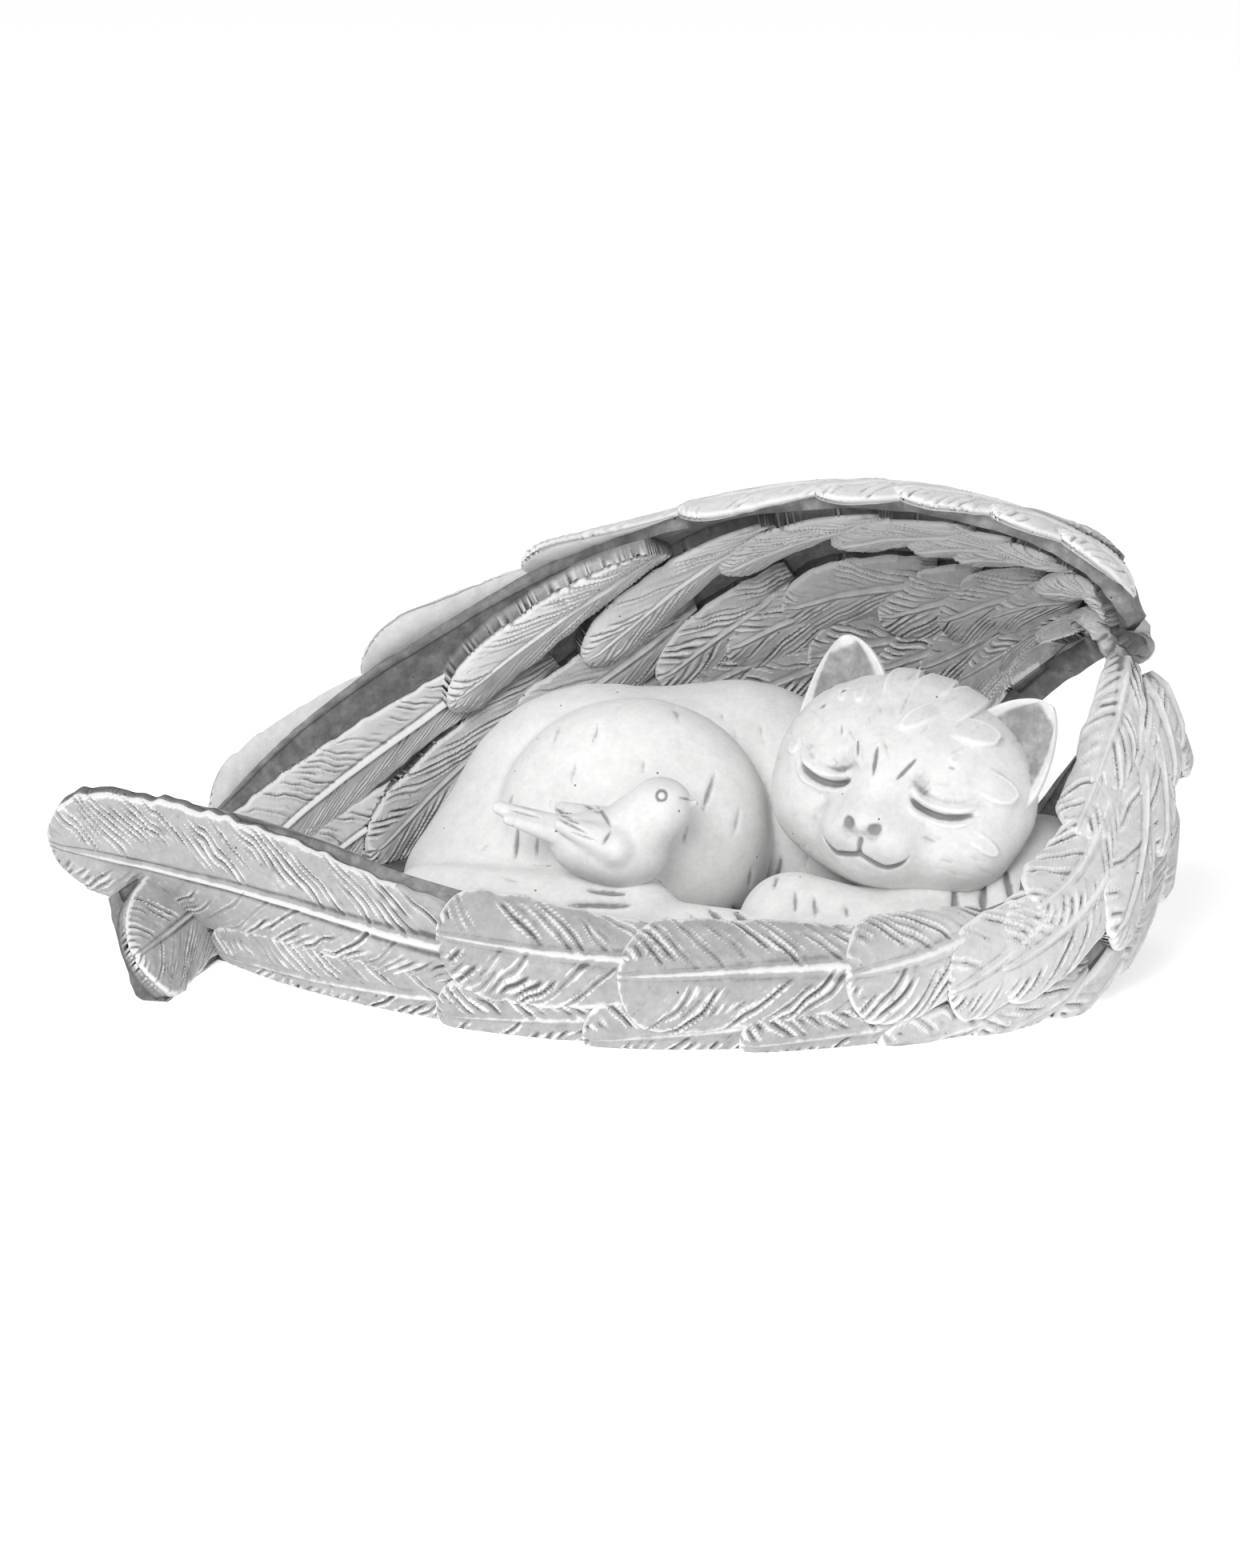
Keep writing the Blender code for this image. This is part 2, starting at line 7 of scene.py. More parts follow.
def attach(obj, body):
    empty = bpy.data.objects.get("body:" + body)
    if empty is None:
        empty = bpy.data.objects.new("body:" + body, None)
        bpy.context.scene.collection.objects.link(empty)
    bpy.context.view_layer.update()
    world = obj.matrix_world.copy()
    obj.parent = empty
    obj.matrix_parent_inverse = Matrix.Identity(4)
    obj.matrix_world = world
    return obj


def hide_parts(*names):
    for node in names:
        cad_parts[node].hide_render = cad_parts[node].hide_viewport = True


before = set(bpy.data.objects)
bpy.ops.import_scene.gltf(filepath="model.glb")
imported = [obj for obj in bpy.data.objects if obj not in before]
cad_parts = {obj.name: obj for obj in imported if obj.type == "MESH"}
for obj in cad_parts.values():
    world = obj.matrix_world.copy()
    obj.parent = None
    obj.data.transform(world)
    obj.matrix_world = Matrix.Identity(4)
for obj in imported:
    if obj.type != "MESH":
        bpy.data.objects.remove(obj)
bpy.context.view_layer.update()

# Camera: level with the photograph's, a little above the ornament and square to its long side.
# Lengths in this script are millimetres until a mesh is made.
ELEVATION = 16.0
AIM = (0.0, 0.0, 38.0)
DISTANCE = 980.0
TOWARDS_CAMERA = np.array([0.0, -np.cos(np.radians(ELEVATION)), np.sin(np.radians(ELEVATION))])

lens = bpy.data.cameras.new("camera")
lens.lens = 100.0
lens.sensor_width = 36.0
lens.sensor_fit = "AUTO"
lens.clip_end = 10.0
camera = bpy.data.objects.new("camera", lens)
bpy.context.scene.collection.objects.link(camera)
camera.location = Vector((np.array(AIM) + DISTANCE * TOWARDS_CAMERA) * 0.001)
camera.rotation_euler = (np.radians(90.0 - ELEVATION), 0.0, 0.0)
bpy.context.scene.camera = camera


# Stone resin: the whole ornament is one casting, washed with grey that stays in its recesses and
# rubbed back to off-white on its high places, with the pinholes that air leaves in a casting.
def stone_resin():
    """Matte cast stone. Two attributes drive its colour: tone, from -1 in a recess to 1 on a rubbed edge,
    and ground, the lightness of the paint there. Both also carry painted shade and painted light in places."""
    material = bpy.data.materials.new("stone_resin_cast")
    material.use_nodes = True
    tree = material.node_tree
    nodes, links = tree.nodes, tree.links
    shader = nodes["Principled BSDF"]

    def node(kind, **values):
        made = nodes.new(kind)
        for key, value in values.items():
            if hasattr(made, key):
                setattr(made, key, value)
            else:
                made.inputs[key].default_value = value
        return made

    def maths(operation, first, second=None, clamp=False):
        made = node("ShaderNodeMath", operation=operation, use_clamp=clamp)
        for socket, value in zip(made.inputs, (first, second)):
            if value is None:
                continue
            if isinstance(value, (int, float)):
                socket.default_value = value
            else:
                links.new(value, socket)
        return made.outputs[0]

    def span(value, low, high, to_low, to_high):
        made = node("ShaderNodeMapRange", interpolation_type="SMOOTHSTEP", clamp=True)
        links.new(value, made.inputs["Value"])
        for key, number in zip(("From Min", "From Max", "To Min", "To Max"), (low, high, to_low, to_high)):
            made.inputs[key].default_value = number
        return made.outputs["Result"]

    place = node("ShaderNodeTexCoord").outputs["Object"]
    tone = node("ShaderNodeAttribute", attribute_name="tone").outputs["Fac"]
    ground = node("ShaderNodeAttribute", attribute_name="ground").outputs["Fac"]

    def noise(scale, detail, rough=0.55):
        made = node("ShaderNodeTexNoise", Scale=scale, Detail=detail, Roughness=rough)
        links.new(place, made.inputs["Vector"])
        return made.outputs["Fac"]

    cloud = noise(60.0, 4.0)
    grit = noise(900.0, 3.0, 0.6)
    streak = noise(260.0, 5.0, 0.65)

    # Pinholes, a few in each square centimetre
    cells = node("ShaderNodeTexVoronoi", feature="F1", Scale=230.0, Randomness=1.0)
    links.new(place, cells.inputs["Vector"])
    chance = node("ShaderNodeSeparateColor")
    links.new(cells.outputs["Color"], chance.inputs["Color"])
    hole = span(cells.outputs["Distance"], 0.035, 0.075, 1.0, 0.0)
    hole = maths("MULTIPLY", hole, span(chance.outputs["Red"], 0.60, 0.64, 0.0, 1.0))

    # The wash breaks up at its edges, and so does the rubbed paint
    broken = maths("ADD", tone, maths("MULTIPLY", maths("SUBTRACT", streak, 0.5), 0.9))
    recess = span(broken, -0.75, 0.0, 1.0, 0.0)
    rubbed = span(broken, 0.22, 0.62, 0.0, 1.0)
    light = maths("ADD", ground, maths("MULTIPLY", maths("SUBTRACT", cloud, 0.5), 0.10))
    light = maths("ADD", light, maths("MULTIPLY", maths("SUBTRACT", grit, 0.5), 0.16))
    light = maths("ADD", light, maths("MULTIPLY", maths("SUBTRACT", streak, 0.5), 0.22))
    light = maths("MULTIPLY", light, maths("SUBTRACT", 1.0, maths("MULTIPLY", recess, 0.62)))
    lift = maths("SUBTRACT", 0.90, light)
    light = maths("ADD", light, maths("MULTIPLY", maths("MULTIPLY", lift, rubbed), 0.80))
    light = maths("MULTIPLY", light, maths("SUBTRACT", 1.0, maths("MULTIPLY", hole, 0.75)), clamp=True)
    colour = node("ShaderNodeCombineColor")
    links.new(light, colour.inputs["Red"])
    links.new(light, colour.inputs["Green"])
    links.new(maths("MULTIPLY", light, 0.995), colour.inputs["Blue"])
    links.new(colour.outputs["Color"], shader.inputs["Base Color"])
    links.new(span(grit, 0.3, 0.7, 0.78, 0.95), shader.inputs["Roughness"])
    shader.inputs["Specular IOR Level"].default_value = 0.28

    relief = maths("ADD", maths("MULTIPLY", grit, 0.35), maths("MULTIPLY", streak, 0.65))
    relief = maths("SUBTRACT", relief, maths("MULTIPLY", hole, 1.6))
    bump = node("ShaderNodeBump", Strength=0.55, Distance=0.00022)
    links.new(relief, bump.inputs["Height"])
    links.new(bump.outputs["Normal"], shader.inputs["Normal"])
    return material


STONE = stone_resin()


def cast_piece(name, points, faces, tone, ground):
    """Piece of the casting from points in millimetres and quads or triangles, cut flat on the ground."""
    points = np.array(points, float)
    points[:, 2] = np.maximum(points[:, 2], 0.0)
    corners = np.concatenate([np.asarray(block).ravel() for block in faces]).astype(np.int32)
    sizes = np.concatenate([np.full(len(block), np.asarray(block).shape[1]) for block in faces])
    starts = np.concatenate([[0], np.cumsum(sizes)[:-1]]).astype(np.int32)
    mesh = bpy.data.meshes.new(name)
    mesh.vertices.add(len(points))
    mesh.vertices.foreach_set("co", (points * 0.001).astype(np.float32).ravel())
    mesh.loops.add(len(corners))
    mesh.loops.foreach_set("vertex_index", corners)
    mesh.polygons.add(len(sizes))
    mesh.polygons.foreach_set("loop_start", starts)
    mesh.polygons.foreach_set("use_smooth", np.ones(len(sizes), bool))
    mesh.update(calc_edges=True)
    mesh.validate()
    for label, values in (("tone", tone), ("ground", ground)):
        values = np.broadcast_to(np.asarray(values, np.float32), (len(points),))
        mesh.attributes.new(label, "FLOAT", "POINT").data.foreach_set("value", np.ascontiguousarray(values))
    mesh.materials.append(STONE)
    piece = bpy.data.objects.new(name, mesh)
    bpy.context.scene.collection.objects.link(piece)
    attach(piece, "root")
    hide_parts("memorial_statue")
    return piece


# Wing sheets: each wing is one thick curved wall of the casting. The rear one rises behind the cat and
# arches over it as a hood, the front one curls round its head and runs low along the front.
SHELL_THICKNESS = 6.4
REAR_SHEET = [
    [[108, 22, 64], [114, 20, 68], [117, 10, 74], [114, -6, 77]],
    [[92, 42, 44], [110, 44, 66], [114, 28, 90], [104, -8, 89]],
    [[70, 56, 2], [88, 74, 50], [88, 62, 100], [86, 0, 97]],
    [[38, 60, -4], [52, 82, 42], [54, 70, 102], [56, 14, 100]],
    [[6, 58, -4], [16, 76, 34], [22, 72, 90], [22, 32, 93]],
    [[-28, 50, -4], [-22, 64, 26], [-14, 62, 66], [-12, 42, 80]],
    [[-58, 38, -4], [-54, 50, 20], [-48, 50, 46], [-44, 42, 62]],
    [[-82, 14, -4], [-80, 22, 12], [-76, 28, 28], [-74, 30, 43]],
    [[-96, -18, -4], [-96, -12, 6], [-96, -2, 14], [-98, 4, 24]],
    [[-103, -46, -3], [-107, -43, 3], [-112, -37, 10], [-116, -31, 18]],
]
FRONT_SHEET = [
    [[84, 46, -3], [92, 46, 6], [94, 42, 12], [95, 38, 16]],
    [[100, 26, -3], [108, 30, 12], [110, 26, 28], [106, 22, 40]],
    [[106, 4, -3], [120, 6, 16], [124, 2, 44], [115, 4, 60]],
    [[103, -22, -3], [116, -24, 14], [118, -22, 38], [110, -14, 50]],
    [[88, -44, -3], [99, -50, 8], [101, -46, 24], [95, -38, 29]],
    [[62, -57, -3], [68, -64, 6], [70, -62, 18], [66, -55, 21]],
    [[28, -64, -3], [30, -70, 6], [32, -68, 18], [31, -60, 21]],
    [[-6, -60, -3], [-6, -66, 6], [-6, -64, 18], [-6, -57, 23]],
    [[-38, -46, -3], [-39, -52, 10], [-40, -52, 22], [-40, -47, 29]],
    [[-66, -26, 0], [-67, -32, 10], [-68, -34, 24], [-69, -30, 35]],
    [[-90, -4, 6], [-92, -14, 12], [-94, -18, 26], [-95, -18, 38]],
    [[-116, 8, 14], [-120, -4, 18], [-122, -8, 30], [-123, -10, 39]],
]
INWARD = {"rear": -1, "front": 1}


def smooth_curve(rows, t):
    """Catmull-Rom curve through the rows, at parameters from 0 to 1."""
    rows = np.asarray(rows, float)
    spans = len(rows) - 1
    place = np.asarray(t, float) * spans
    first = np.clip(np.floor(place).astype(int), 0, spans - 1)
    f = (place - first).reshape(place.shape + (1,) * (rows.ndim - 1))
    padded = np.concatenate([[2 * rows[0] - rows[1]], rows, [2 * rows[-1] - rows[-2]]])
    a, b, c, d = (padded[first + k] for k in range(4))
    return b + 0.5 * f * ((c - a) + f * ((2 * a - 5 * b + 4 * c - d) + f * (3 * (b - c) + d - a)))


def sheet_point(sheet, u, v):
    """Point of a wing sheet: u runs from the shoulder to the tips, v from the foot to the rim."""
    u, v = np.broadcast_arrays(np.asarray(u, float), np.asarray(v, float))
    section = smooth_curve(sheet, u)
    w = v[..., None]
    foot, lower, upper, rim = (section[..., k, :] for k in range(4))
    return (1 - w) ** 3 * foot + 3 * (1 - w) ** 2 * w * lower + 3 * (1 - w) * w**2 * upper + w**3 * rim


def sheet_slopes(sheet, u, v):
    """The sheet's two tangents at (u, v)."""
    step = 1e-3
    along = (sheet_point(sheet, u + step, v) - sheet_point(sheet, u - step, v)) / (2 * step)
    across = (sheet_point(sheet, u, v + step) - sheet_point(sheet, u, v - step)) / (2 * step)
    return along, across


def off_sheet(sheet, side, u, v, height):
    """Point at a height above the sheet's middle, on the side given as +1 or -1."""
    along, across = sheet_slopes(sheet, u, v)
    normal = np.cross(along, across)
    normal /= np.linalg.norm(normal, axis=-1, keepdims=True)
    return sheet_point(sheet, u, v) + side * normal * np.asarray(height)[..., None]


def rounded_noise(x, y, seed):
    """Smooth value noise from -1 to 1 on a plane: random numbers at whole places, blended between."""
    def value(i, j):
        mixed = np.sin(i * 127.1 + j * 311.7 + seed * 74.7) * 43758.5453
        return 2 * (mixed - np.floor(mixed)) - 1

    i, j = np.floor(x), np.floor(y)
    f, g = x - i, y - j
    f, g = f * f * (3 - 2 * f), g * g * (3 - 2 * g)
    low = value(i, j) * (1 - f) + value(i + 1, j) * f
    high = value(i, j + 1) * (1 - f) + value(i + 1, j + 1) * f
    return low * (1 - g) + high * g


def grid_faces(rows, columns):
    """Quads of a grid of points stored row by row."""
    at = np.arange(rows * columns).reshape(rows, columns)
    return np.stack([at[:-1, :-1], at[1:, :-1], at[1:, 1:], at[:-1, 1:]], -1).reshape(-1, 4)


def border_of(rows, columns):
    """Indices round the edge of a grid, in order."""
    at = np.arange(rows * columns).reshape(rows, columns)
    return np.concatenate([at[0, :], at[1:, -1], at[-1, -2::-1], at[-2:0:-1, 0]])


def closed_between(top, bottom):
    """Points and faces of a body between two equal grids, wall included, with the top's quads turned so that
    they face away from the bottom."""
    rows, columns = top.shape[:2]
    count = rows * columns
    faces = grid_faces(rows, columns)
    ring = border_of(rows, columns)
    after = np.roll(ring, -1)
    middle = (rows // 2, columns // 2)
    row, column = middle
    spread = np.cross(top[row + 1, column] - top[middle], top[row, column + 1] - top[middle])
    outward = np.dot(spread, top[middle] - bottom[middle]) > 0
    wall = np.stack([ring, after, after + count, ring + count], -1)
    if outward:
        blocks = [faces, faces[:, ::-1] + count, wall[:, ::-1]]
    else:
        blocks = [faces[:, ::-1], faces + count, wall]
    return np.concatenate([top.reshape(-1, 3), bottom.reshape(-1, 3)]), blocks


def shell(name, sheet, columns, rows, ground, seed):
    """One wing's wall, the sheet thickened to both sides, thinner at the rim."""
    u, v = np.meshgrid(np.linspace(0, 0.975, columns), np.linspace(0, 1, rows), indexing="ij")
    half = SHELL_THICKNESS / 2 * (1 - 0.45 * v**4)
    rough = 0.25 * rounded_noise(u * 60, v * 14, seed)
    points, faces = closed_between(
        off_sheet(sheet, 1, u, v, half + rough), off_sheet(sheet, -1, u, v, half + rough)
    )
    cast_piece(name, points, faces, -0.55, ground)


shell("rear_wing_wall", REAR_SHEET, 180, 60, 0.50, 3)
shell("front_wing_wall", FRONT_SHEET, 200, 40, 0.55, 4)


# Feathers: modelled in the same casting as the wings, each a shallow tile with a quill down its middle and
# barbs scored to both sides by hand, lapping over the next one towards the tips.
def feather(
    sheet,
    side,
    root,
    tip,
    width,
    base,
    lift,
    seed,
    spacing=0.42,
    quill=0.6,
    barb=2.4,
    score=1.0,
    slant=1.15,
    crown=1.3,
    neck=0.45,
    skirt_painted_shading=-0.8,
):
    """One feather on a sheet, as points, faces and tone.

    It is narrow at its root and round at its tip, arched across and rising to its tip, with a rounded lip.
    Its barbs are grooves that leave the quill at a slant, each with its own depth and reach. base and lift
    are its height on the wall at its root and what it gains by its tip, barb is the gap from one groove to
    the next, crown its arch, and neck its width at the root as a share of its full width.
    """
    root, tip = np.array(root, float), np.array(tip, float)
    along, across = sheet_slopes(sheet, *((root + tip) / 2))
    length = np.linalg.norm((tip - root) * (np.linalg.norm(along), np.linalg.norm(across)))
    shoulder = max(0.5, 1 - 0.55 * width / length)
    straight = max(4, int(length * shoulder / spacing))
    curved = max(6, int(1.2 * width / 2 / spacing))
    turn = np.linspace(0, np.pi / 2 * 0.985, curved + 1)[1:]
    t = np.concatenate([np.linspace(0, shoulder, straight), shoulder + (1 - shoulder) * np.sin(turn)])
    t = t[:, None]
    q = np.linspace(-1, 1, 2 * max(4, int(width / 2 / spacing)) + 1)[None, :]
    round_tip = np.sqrt(np.clip(1 - ((t - shoulder) / (1 - shoulder)) ** 2, 0, 1))
    swell = np.where(t < shoulder, neck + (1 - neck) * np.sin(t / shoulder * np.pi / 2), round_tip)
    half = width / 2 * swell
    ragged = 1 + 0.05 * rounded_noise(t * length / 2.6 + seed, np.sign(q) * 3.0 + 0 * t, seed)
    t, q = np.broadcast_arrays(t, q)
    s, w = t * length, q * half
    middle_u = root[0] + (tip - root)[0] * t
    middle_v = root[1] + (tip - root)[1] * t
    along, across = sheet_slopes(sheet, middle_u, middle_v)
    length_u, length_v = np.linalg.norm(along, axis=-1), np.linalg.norm(across, axis=-1)
    heading = np.arctan2((tip - root)[1] * length_v, (tip - root)[0] * length_u)
    offset = w * ragged
    place_u = middle_u - np.sin(heading) / length_u * offset
    place_v = middle_v + np.cos(heading) / length_v * offset

    lateral = q * half
    arm = np.sign(lateral)
    reach = np.abs(lateral)
    share = np.clip(reach / (half + 1e-6), 0, 1)
    lean = slant * (1 - 0.3 * t)

    def scored(period, depth, number, cover):
        wobble = 0.5 * rounded_noise(s / 7, arm * 5 + reach / 5, seed + number)
        phase = (s - lean * reach - 0.035 * reach**2) / period + wobble + arm * 0.31 + number
        index = np.floor(phase)
        local = phase - index - 0.5

        def chance(k):
            mixed = np.sin(index * 12.9898 + arm * 78.233 + (seed + k) * 37.719) * 43758.5453
            return mixed - np.floor(mixed)

        strength = np.clip((chance(1) - (1 - cover)) / cover, 0, 1) ** 0.6
        inner = 0.45 * chance(2) ** 1.5
        outer = 1.08 - 0.5 * chance(3) ** 2
        inside = np.clip((share - inner) / 0.16, 0, 1) * np.clip((outer - share) / 0.16, 0, 1)
        groove = np.exp(-((local / 0.19) ** 2)) * strength * inside
        lip = np.exp(-(((np.abs(local) - 0.36) / 0.14) ** 2)) * strength * inside
        return depth * (0.5 * lip - groove), groove, lip

    deep, groove, lip = scored(barb, 0.85 * score, 1, 0.85)
    fine, fine_groove, _ = scored(0.47 * barb, 0.24 * score, 9, 0.6)
    shaft = (1.0 - 0.72 * t) * (0.55 + 0.45 * min(1.6, width / 14)) * np.clip(half / 2, 0, 1)
    ridge = np.exp(-((reach / (0.62 * shaft + 0.05)) ** 2))
    gutter = np.exp(-(((reach - 1.55 * shaft) / (0.55 * shaft + 0.05)) ** 2))
    fade = np.clip(half * 0.5, 0, 1) * np.clip((1 - t) * 9, 0, 1)
    stem = quill * fade * (0.75 * ridge - 0.45 * gutter)

    edge = np.minimum(half * (1 - np.abs(q)), (1 - t) * length)
    rounding = 1.1
    fall = rounding * (1 - np.sqrt(np.clip(1 - (1 - np.minimum(edge, rounding) / rounding) ** 2, 0, 1)))
    arch = crown * (1 - np.abs(q) ** 2.2) * np.minimum(1, 4 * t) * np.clip(0.4 + (1 - t) * length / 6, 0, 1)
    waver = 0.18 * rounded_noise(s / 6, w / 5, seed + 5)
    height = SHELL_THICKNESS / 2 + base + lift * t + arch + deep + fine + stem - 0.8 * fall + waver
    height = np.maximum(height, SHELL_THICKNESS / 2 + min(0.2, base + 0.3))
    top = off_sheet(sheet, side, place_u, place_v, height)
    ring = border_of(*t.shape)
    under = off_sheet(sheet, side, place_u, place_v, height * 0 + SHELL_THICKNESS / 2 - 1.6)
    skirt = under.reshape(-1, 3)[ring]
    points = np.concatenate([top.reshape(-1, 3), skirt])
    count = t.size
    after = np.roll(np.arange(len(ring)), -1)
    faces = grid_faces(*t.shape)
    wall = np.stack([ring, ring[after], after + count, np.arange(len(ring)) + count], -1)
    floor = (np.arange(len(ring)) + count)[None, :]
    if side > 0:
        blocks = [faces, wall[:, ::-1], floor[:, ::-1]]
    else:
        blocks = [faces[:, ::-1], wall, floor]
    tone = -1.15 * groove - 0.45 * fine_groove - 0.55 * gutter * quill + 0.55 * ridge * quill * fade
    tone = tone + 0.85 * lip + 0.75 * np.clip(1 - edge / 1.5, 0, 1) * (t > 0.25)
    # Darker towards the root: painted shade where each feather tucks under the one that laps over it
    tone = tone - 0.75 * np.clip(1 - t / 0.22, 0, 1) + 0.18
    # Skirts round each feather take skirt_painted_shading: below zero it is painted shade in the gaps
    # between feathers, above zero painted light
    return points, blocks, np.concatenate([tone.ravel(), np.full(len(ring), skirt_painted_shading)])


def feather_group(name, parts, ground):
    """Joins feathers into one piece. ground is a number or a function of the points."""
    points, tones, blocks, start = [], [], [], 0
    for part_points, part_blocks, part_tone in parts:
        blocks += [block + start for block in part_blocks]
        points.append(part_points)
        tones.append(part_tone)
        start += len(part_points)
    points = np.concatenate(points)
    shade = ground(points) if callable(ground) else ground
    return cast_piece(name, points, blocks, np.concatenate(tones), shade)


REAR_INNER_ROWS = [
    [
        ((0.04, 0.80), (0.160, 0.58), 16),
        ((0.14, 0.84), (0.250, 0.70), 18),
        ((0.195, 0.82), (0.288, 0.72), 20),
        ((0.235, 0.84), (0.350, 0.74), 20),
        ((0.31, 0.88), (0.442, 0.73), 19),
        ((0.40, 0.88), (0.538, 0.60), 19),
        ((0.49, 0.96), (0.652, 0.71), 19),
    ],
    [
        ((0.00, 0.62), (0.014, 0.14), 13),
        ((0.01, 0.40), (0.096, 0.18), 15),
        ((0.10, 0.52), (0.196, 0.46), 17),
        ((0.155, 0.54), (0.252, 0.47), 21),
        ((0.215, 0.54), (0.300, 0.48), 19),
        ((0.26, 0.56), (0.380, 0.53), 18),
        ((0.33, 0.52), (0.422, 0.46), 19),
        ((0.37, 0.58), (0.474, 0.44), 18),
        ((0.45, 0.58), (0.590, 0.42), 20),
        ((0.55, 0.58), (0.700, 0.22), 20),
    ],
    [
        ((0.09, 0.32), (0.160, 0.26), 15),
        ((0.13, 0.30), (0.214, 0.31), 18),
        ((0.19, 0.40), (0.260, 0.36), 16),
        ((0.235, 0.40), (0.294, 0.36), 15),
        ((0.27, 0.42), (0.350, 0.40), 17),
        ((0.32, 0.38), (0.406, 0.34), 18),
        ((0.37, 0.42), (0.450, 0.38), 16),
        ((0.44, 0.38), (0.560, 0.26), 20),
    ],
    [
        ((0.05, 0.14), (0.120, 0.08), 14),
        ((0.10, 0.16), (0.190, 0.14), 16),
        ((0.17, 0.24), (0.250, 0.20), 17),
        ((0.24, 0.26), (0.330, 0.22), 18),
        ((0.31, 0.24), (0.410, 0.20), 18),
        ((0.40, 0.24), (0.510, 0.16), 18),
    ],
]
REAR_PRIMARIES = [
    ((0.56, 0.70), (0.995, 0.50), 30),
    ((0.57, 0.42), (0.83, 0.22), 20),
]
RIM_FEATHERS = [
    ((0.03, 0.86), (0.168, 1.00), 15),
    ((0.10, 0.90), (0.240, 1.01), 15),
    ((0.18, 0.92), (0.315, 1.01), 16),
    ((0.24, 0.92), (0.372, 1.02), 16),
    ((0.32, 0.92), (0.470, 1.04), 16),
    ((0.43, 0.90), (0.590, 1.06), 16),
    ((0.53, 0.88), (0.722, 1.08), 16),
    ((0.66, 0.84), (0.86, 1.02), 15),
]
FRONT_TOP_ROW = [
    ((0.15, 0.92), (0.205, 0.66), 15),
    ((0.195, 1.02), (0.226, 0.80), 15),
    ((0.210, 1.12), (0.316, 1.03), 12),
    ((0.215, 1.04), (0.258, 0.75), 18),
    ((0.260, 1.08), (0.346, 1.00), 12),
    ((0.235, 1.02), (0.294, 0.62), 18),
    ((0.290, 1.00), (0.400, 0.80), 15),
    ((0.265, 0.95), (0.352, 0.52), 19),
    ((0.325, 0.82), (0.428, 0.56), 17),
    ((0.370, 0.84), (0.455, 0.50), 16),
    ((0.425, 0.80), (0.508, 0.62), 17),
    ((0.475, 0.70), (0.620, 0.60), 19),
    ((0.575, 0.70), (0.718, 0.68), 19),
]
FRONT_LOW_ROW = [
    ((0.12, 0.50), (0.185, 0.22), 15),
    ((0.20, 0.60), (0.250, 0.34), 16),
    ((0.245, 0.56), (0.325, 0.28), 16),
    ((0.300, 0.42), (0.368, 0.12), 14),
    ((0.355, 0.36), (0.430, 0.14), 12),
    ((0.410, 0.28), (0.485, 0.18), 11),
    ((0.465, 0.32), (0.556, 0.22), 13),
    ((0.530, 0.34), (0.638, 0.22), 14),
    ((0.610, 0.36), (0.722, 0.20), 14),
    ((0.680, 0.30), (0.900, 0.12), 16),
]
FRONT_PRIMARY = ((0.66, 0.56), (1.012, 0.69), 30)
FRONT_INNER_ROW = [
    ((0.10, 0.90), (0.165, 0.60), 12),
    ((0.17, 0.95), (0.225, 0.66), 12),
    ((0.23, 0.90), (0.285, 0.60), 12),
    ((0.28, 0.80), (0.345, 0.50), 12),
]
BACK_ROWS = [(0.72, 9, 20), (0.48, 9, 21), (0.24, 8, 21)]

# The hood's feathers are broad. Each row further in has a darker ground, painted shade that deepens inside
# the hood, and the top row's light ground is painted light
HOOD_SPREAD = 1.22
HOOD_ROW_GROUNDS_PAINTED_SHADE = (0.92, 0.62, 0.46, 0.40)
for row, feathers in enumerate(REAR_INNER_ROWS):
    made = [
        feather(
            REAR_SHEET, INWARD["rear"], root, tip, HOOD_SPREAD * width, 2.4 - 0.8 * row, 2.3,
            10 * row + number, barb=3.9, score=1.5, slant=2.0, crown=2.3, neck=0.75,
        )
        for number, (root, tip, width) in enumerate(feathers)
    ]
    feather_group(f"hood_feathers_{row}", made, HOOD_ROW_GROUNDS_PAINTED_SHADE[row])
made = [
    feather(REAR_SHEET, INWARD["rear"], root, tip, width, 0.4, 1.6, 60 + number, quill=1.3, score=0.8)
    for number, (root, tip, width) in enumerate(REAR_PRIMARIES)
]
feather_group("rear_primaries", made, lambda place: 0.95 - 0.50 * np.clip((-80 - place[:, 0]) / 15, 0, 1))
# The rim feathers' light ground and light skirts are partly painted light, for a rim that stands in the
# light from above and below
made = [
    feather(
        REAR_SHEET, -INWARD["rear"], root, tip, width, -1.7, 1.8,
        80 + number, barb=3.4, slant=1.7, skirt_painted_shading=0.3,
    )
    for number, (root, tip, width) in enumerate(RIM_FEATHERS)
]
feather_group("rim_feathers", made, 0.80)
made = []
for row, (height, count, width) in enumerate(BACK_ROWS):
    for number in range(count):
        start = 0.10 + 0.04 * (row % 2) + number * 0.72 / count
        tip = (start + 0.155, height - 0.10)
        made.append(
            feather(
                REAR_SHEET, -INWARD["rear"], (start, height), tip, width, 0.9 - 0.4 * row, 2.0,
                200 + len(made), spacing=0.9,
            )
        )
feather_group("back_feathers", made, 0.60)
made = [
    feather(
        FRONT_SHEET, -INWARD["front"], root, tip, width, 0.2, 2.3,
        100 + number, barb=3.0, slant=1.4, crown=1.8, neck=0.6,
    )
    for number, (root, tip, width) in enumerate(FRONT_LOW_ROW)
]
feather_group("front_low_feathers", made, lambda place: 0.44 + 0.20 * np.clip((place[:, 0] - 40) / 40, 0, 1))
made = [
    feather(
        FRONT_SHEET, -INWARD["front"], root, tip, width, 1.4, 2.3,
        120 + number, quill=0.9, barb=3.0, slant=1.4, crown=1.8, neck=0.6,
    )
    for number, (root, tip, width) in enumerate(FRONT_TOP_ROW)
]
feather_group("front_top_feathers", made, lambda place: 0.44 + 0.24 * np.clip((place[:, 0] - 40) / 40, 0, 1))
made = [
    feather(FRONT_SHEET, INWARD["front"], root, tip, width, 0.6, 1.6, 140 + number)
    for number, (root, tip, width) in enumerate(FRONT_INNER_ROW)
]
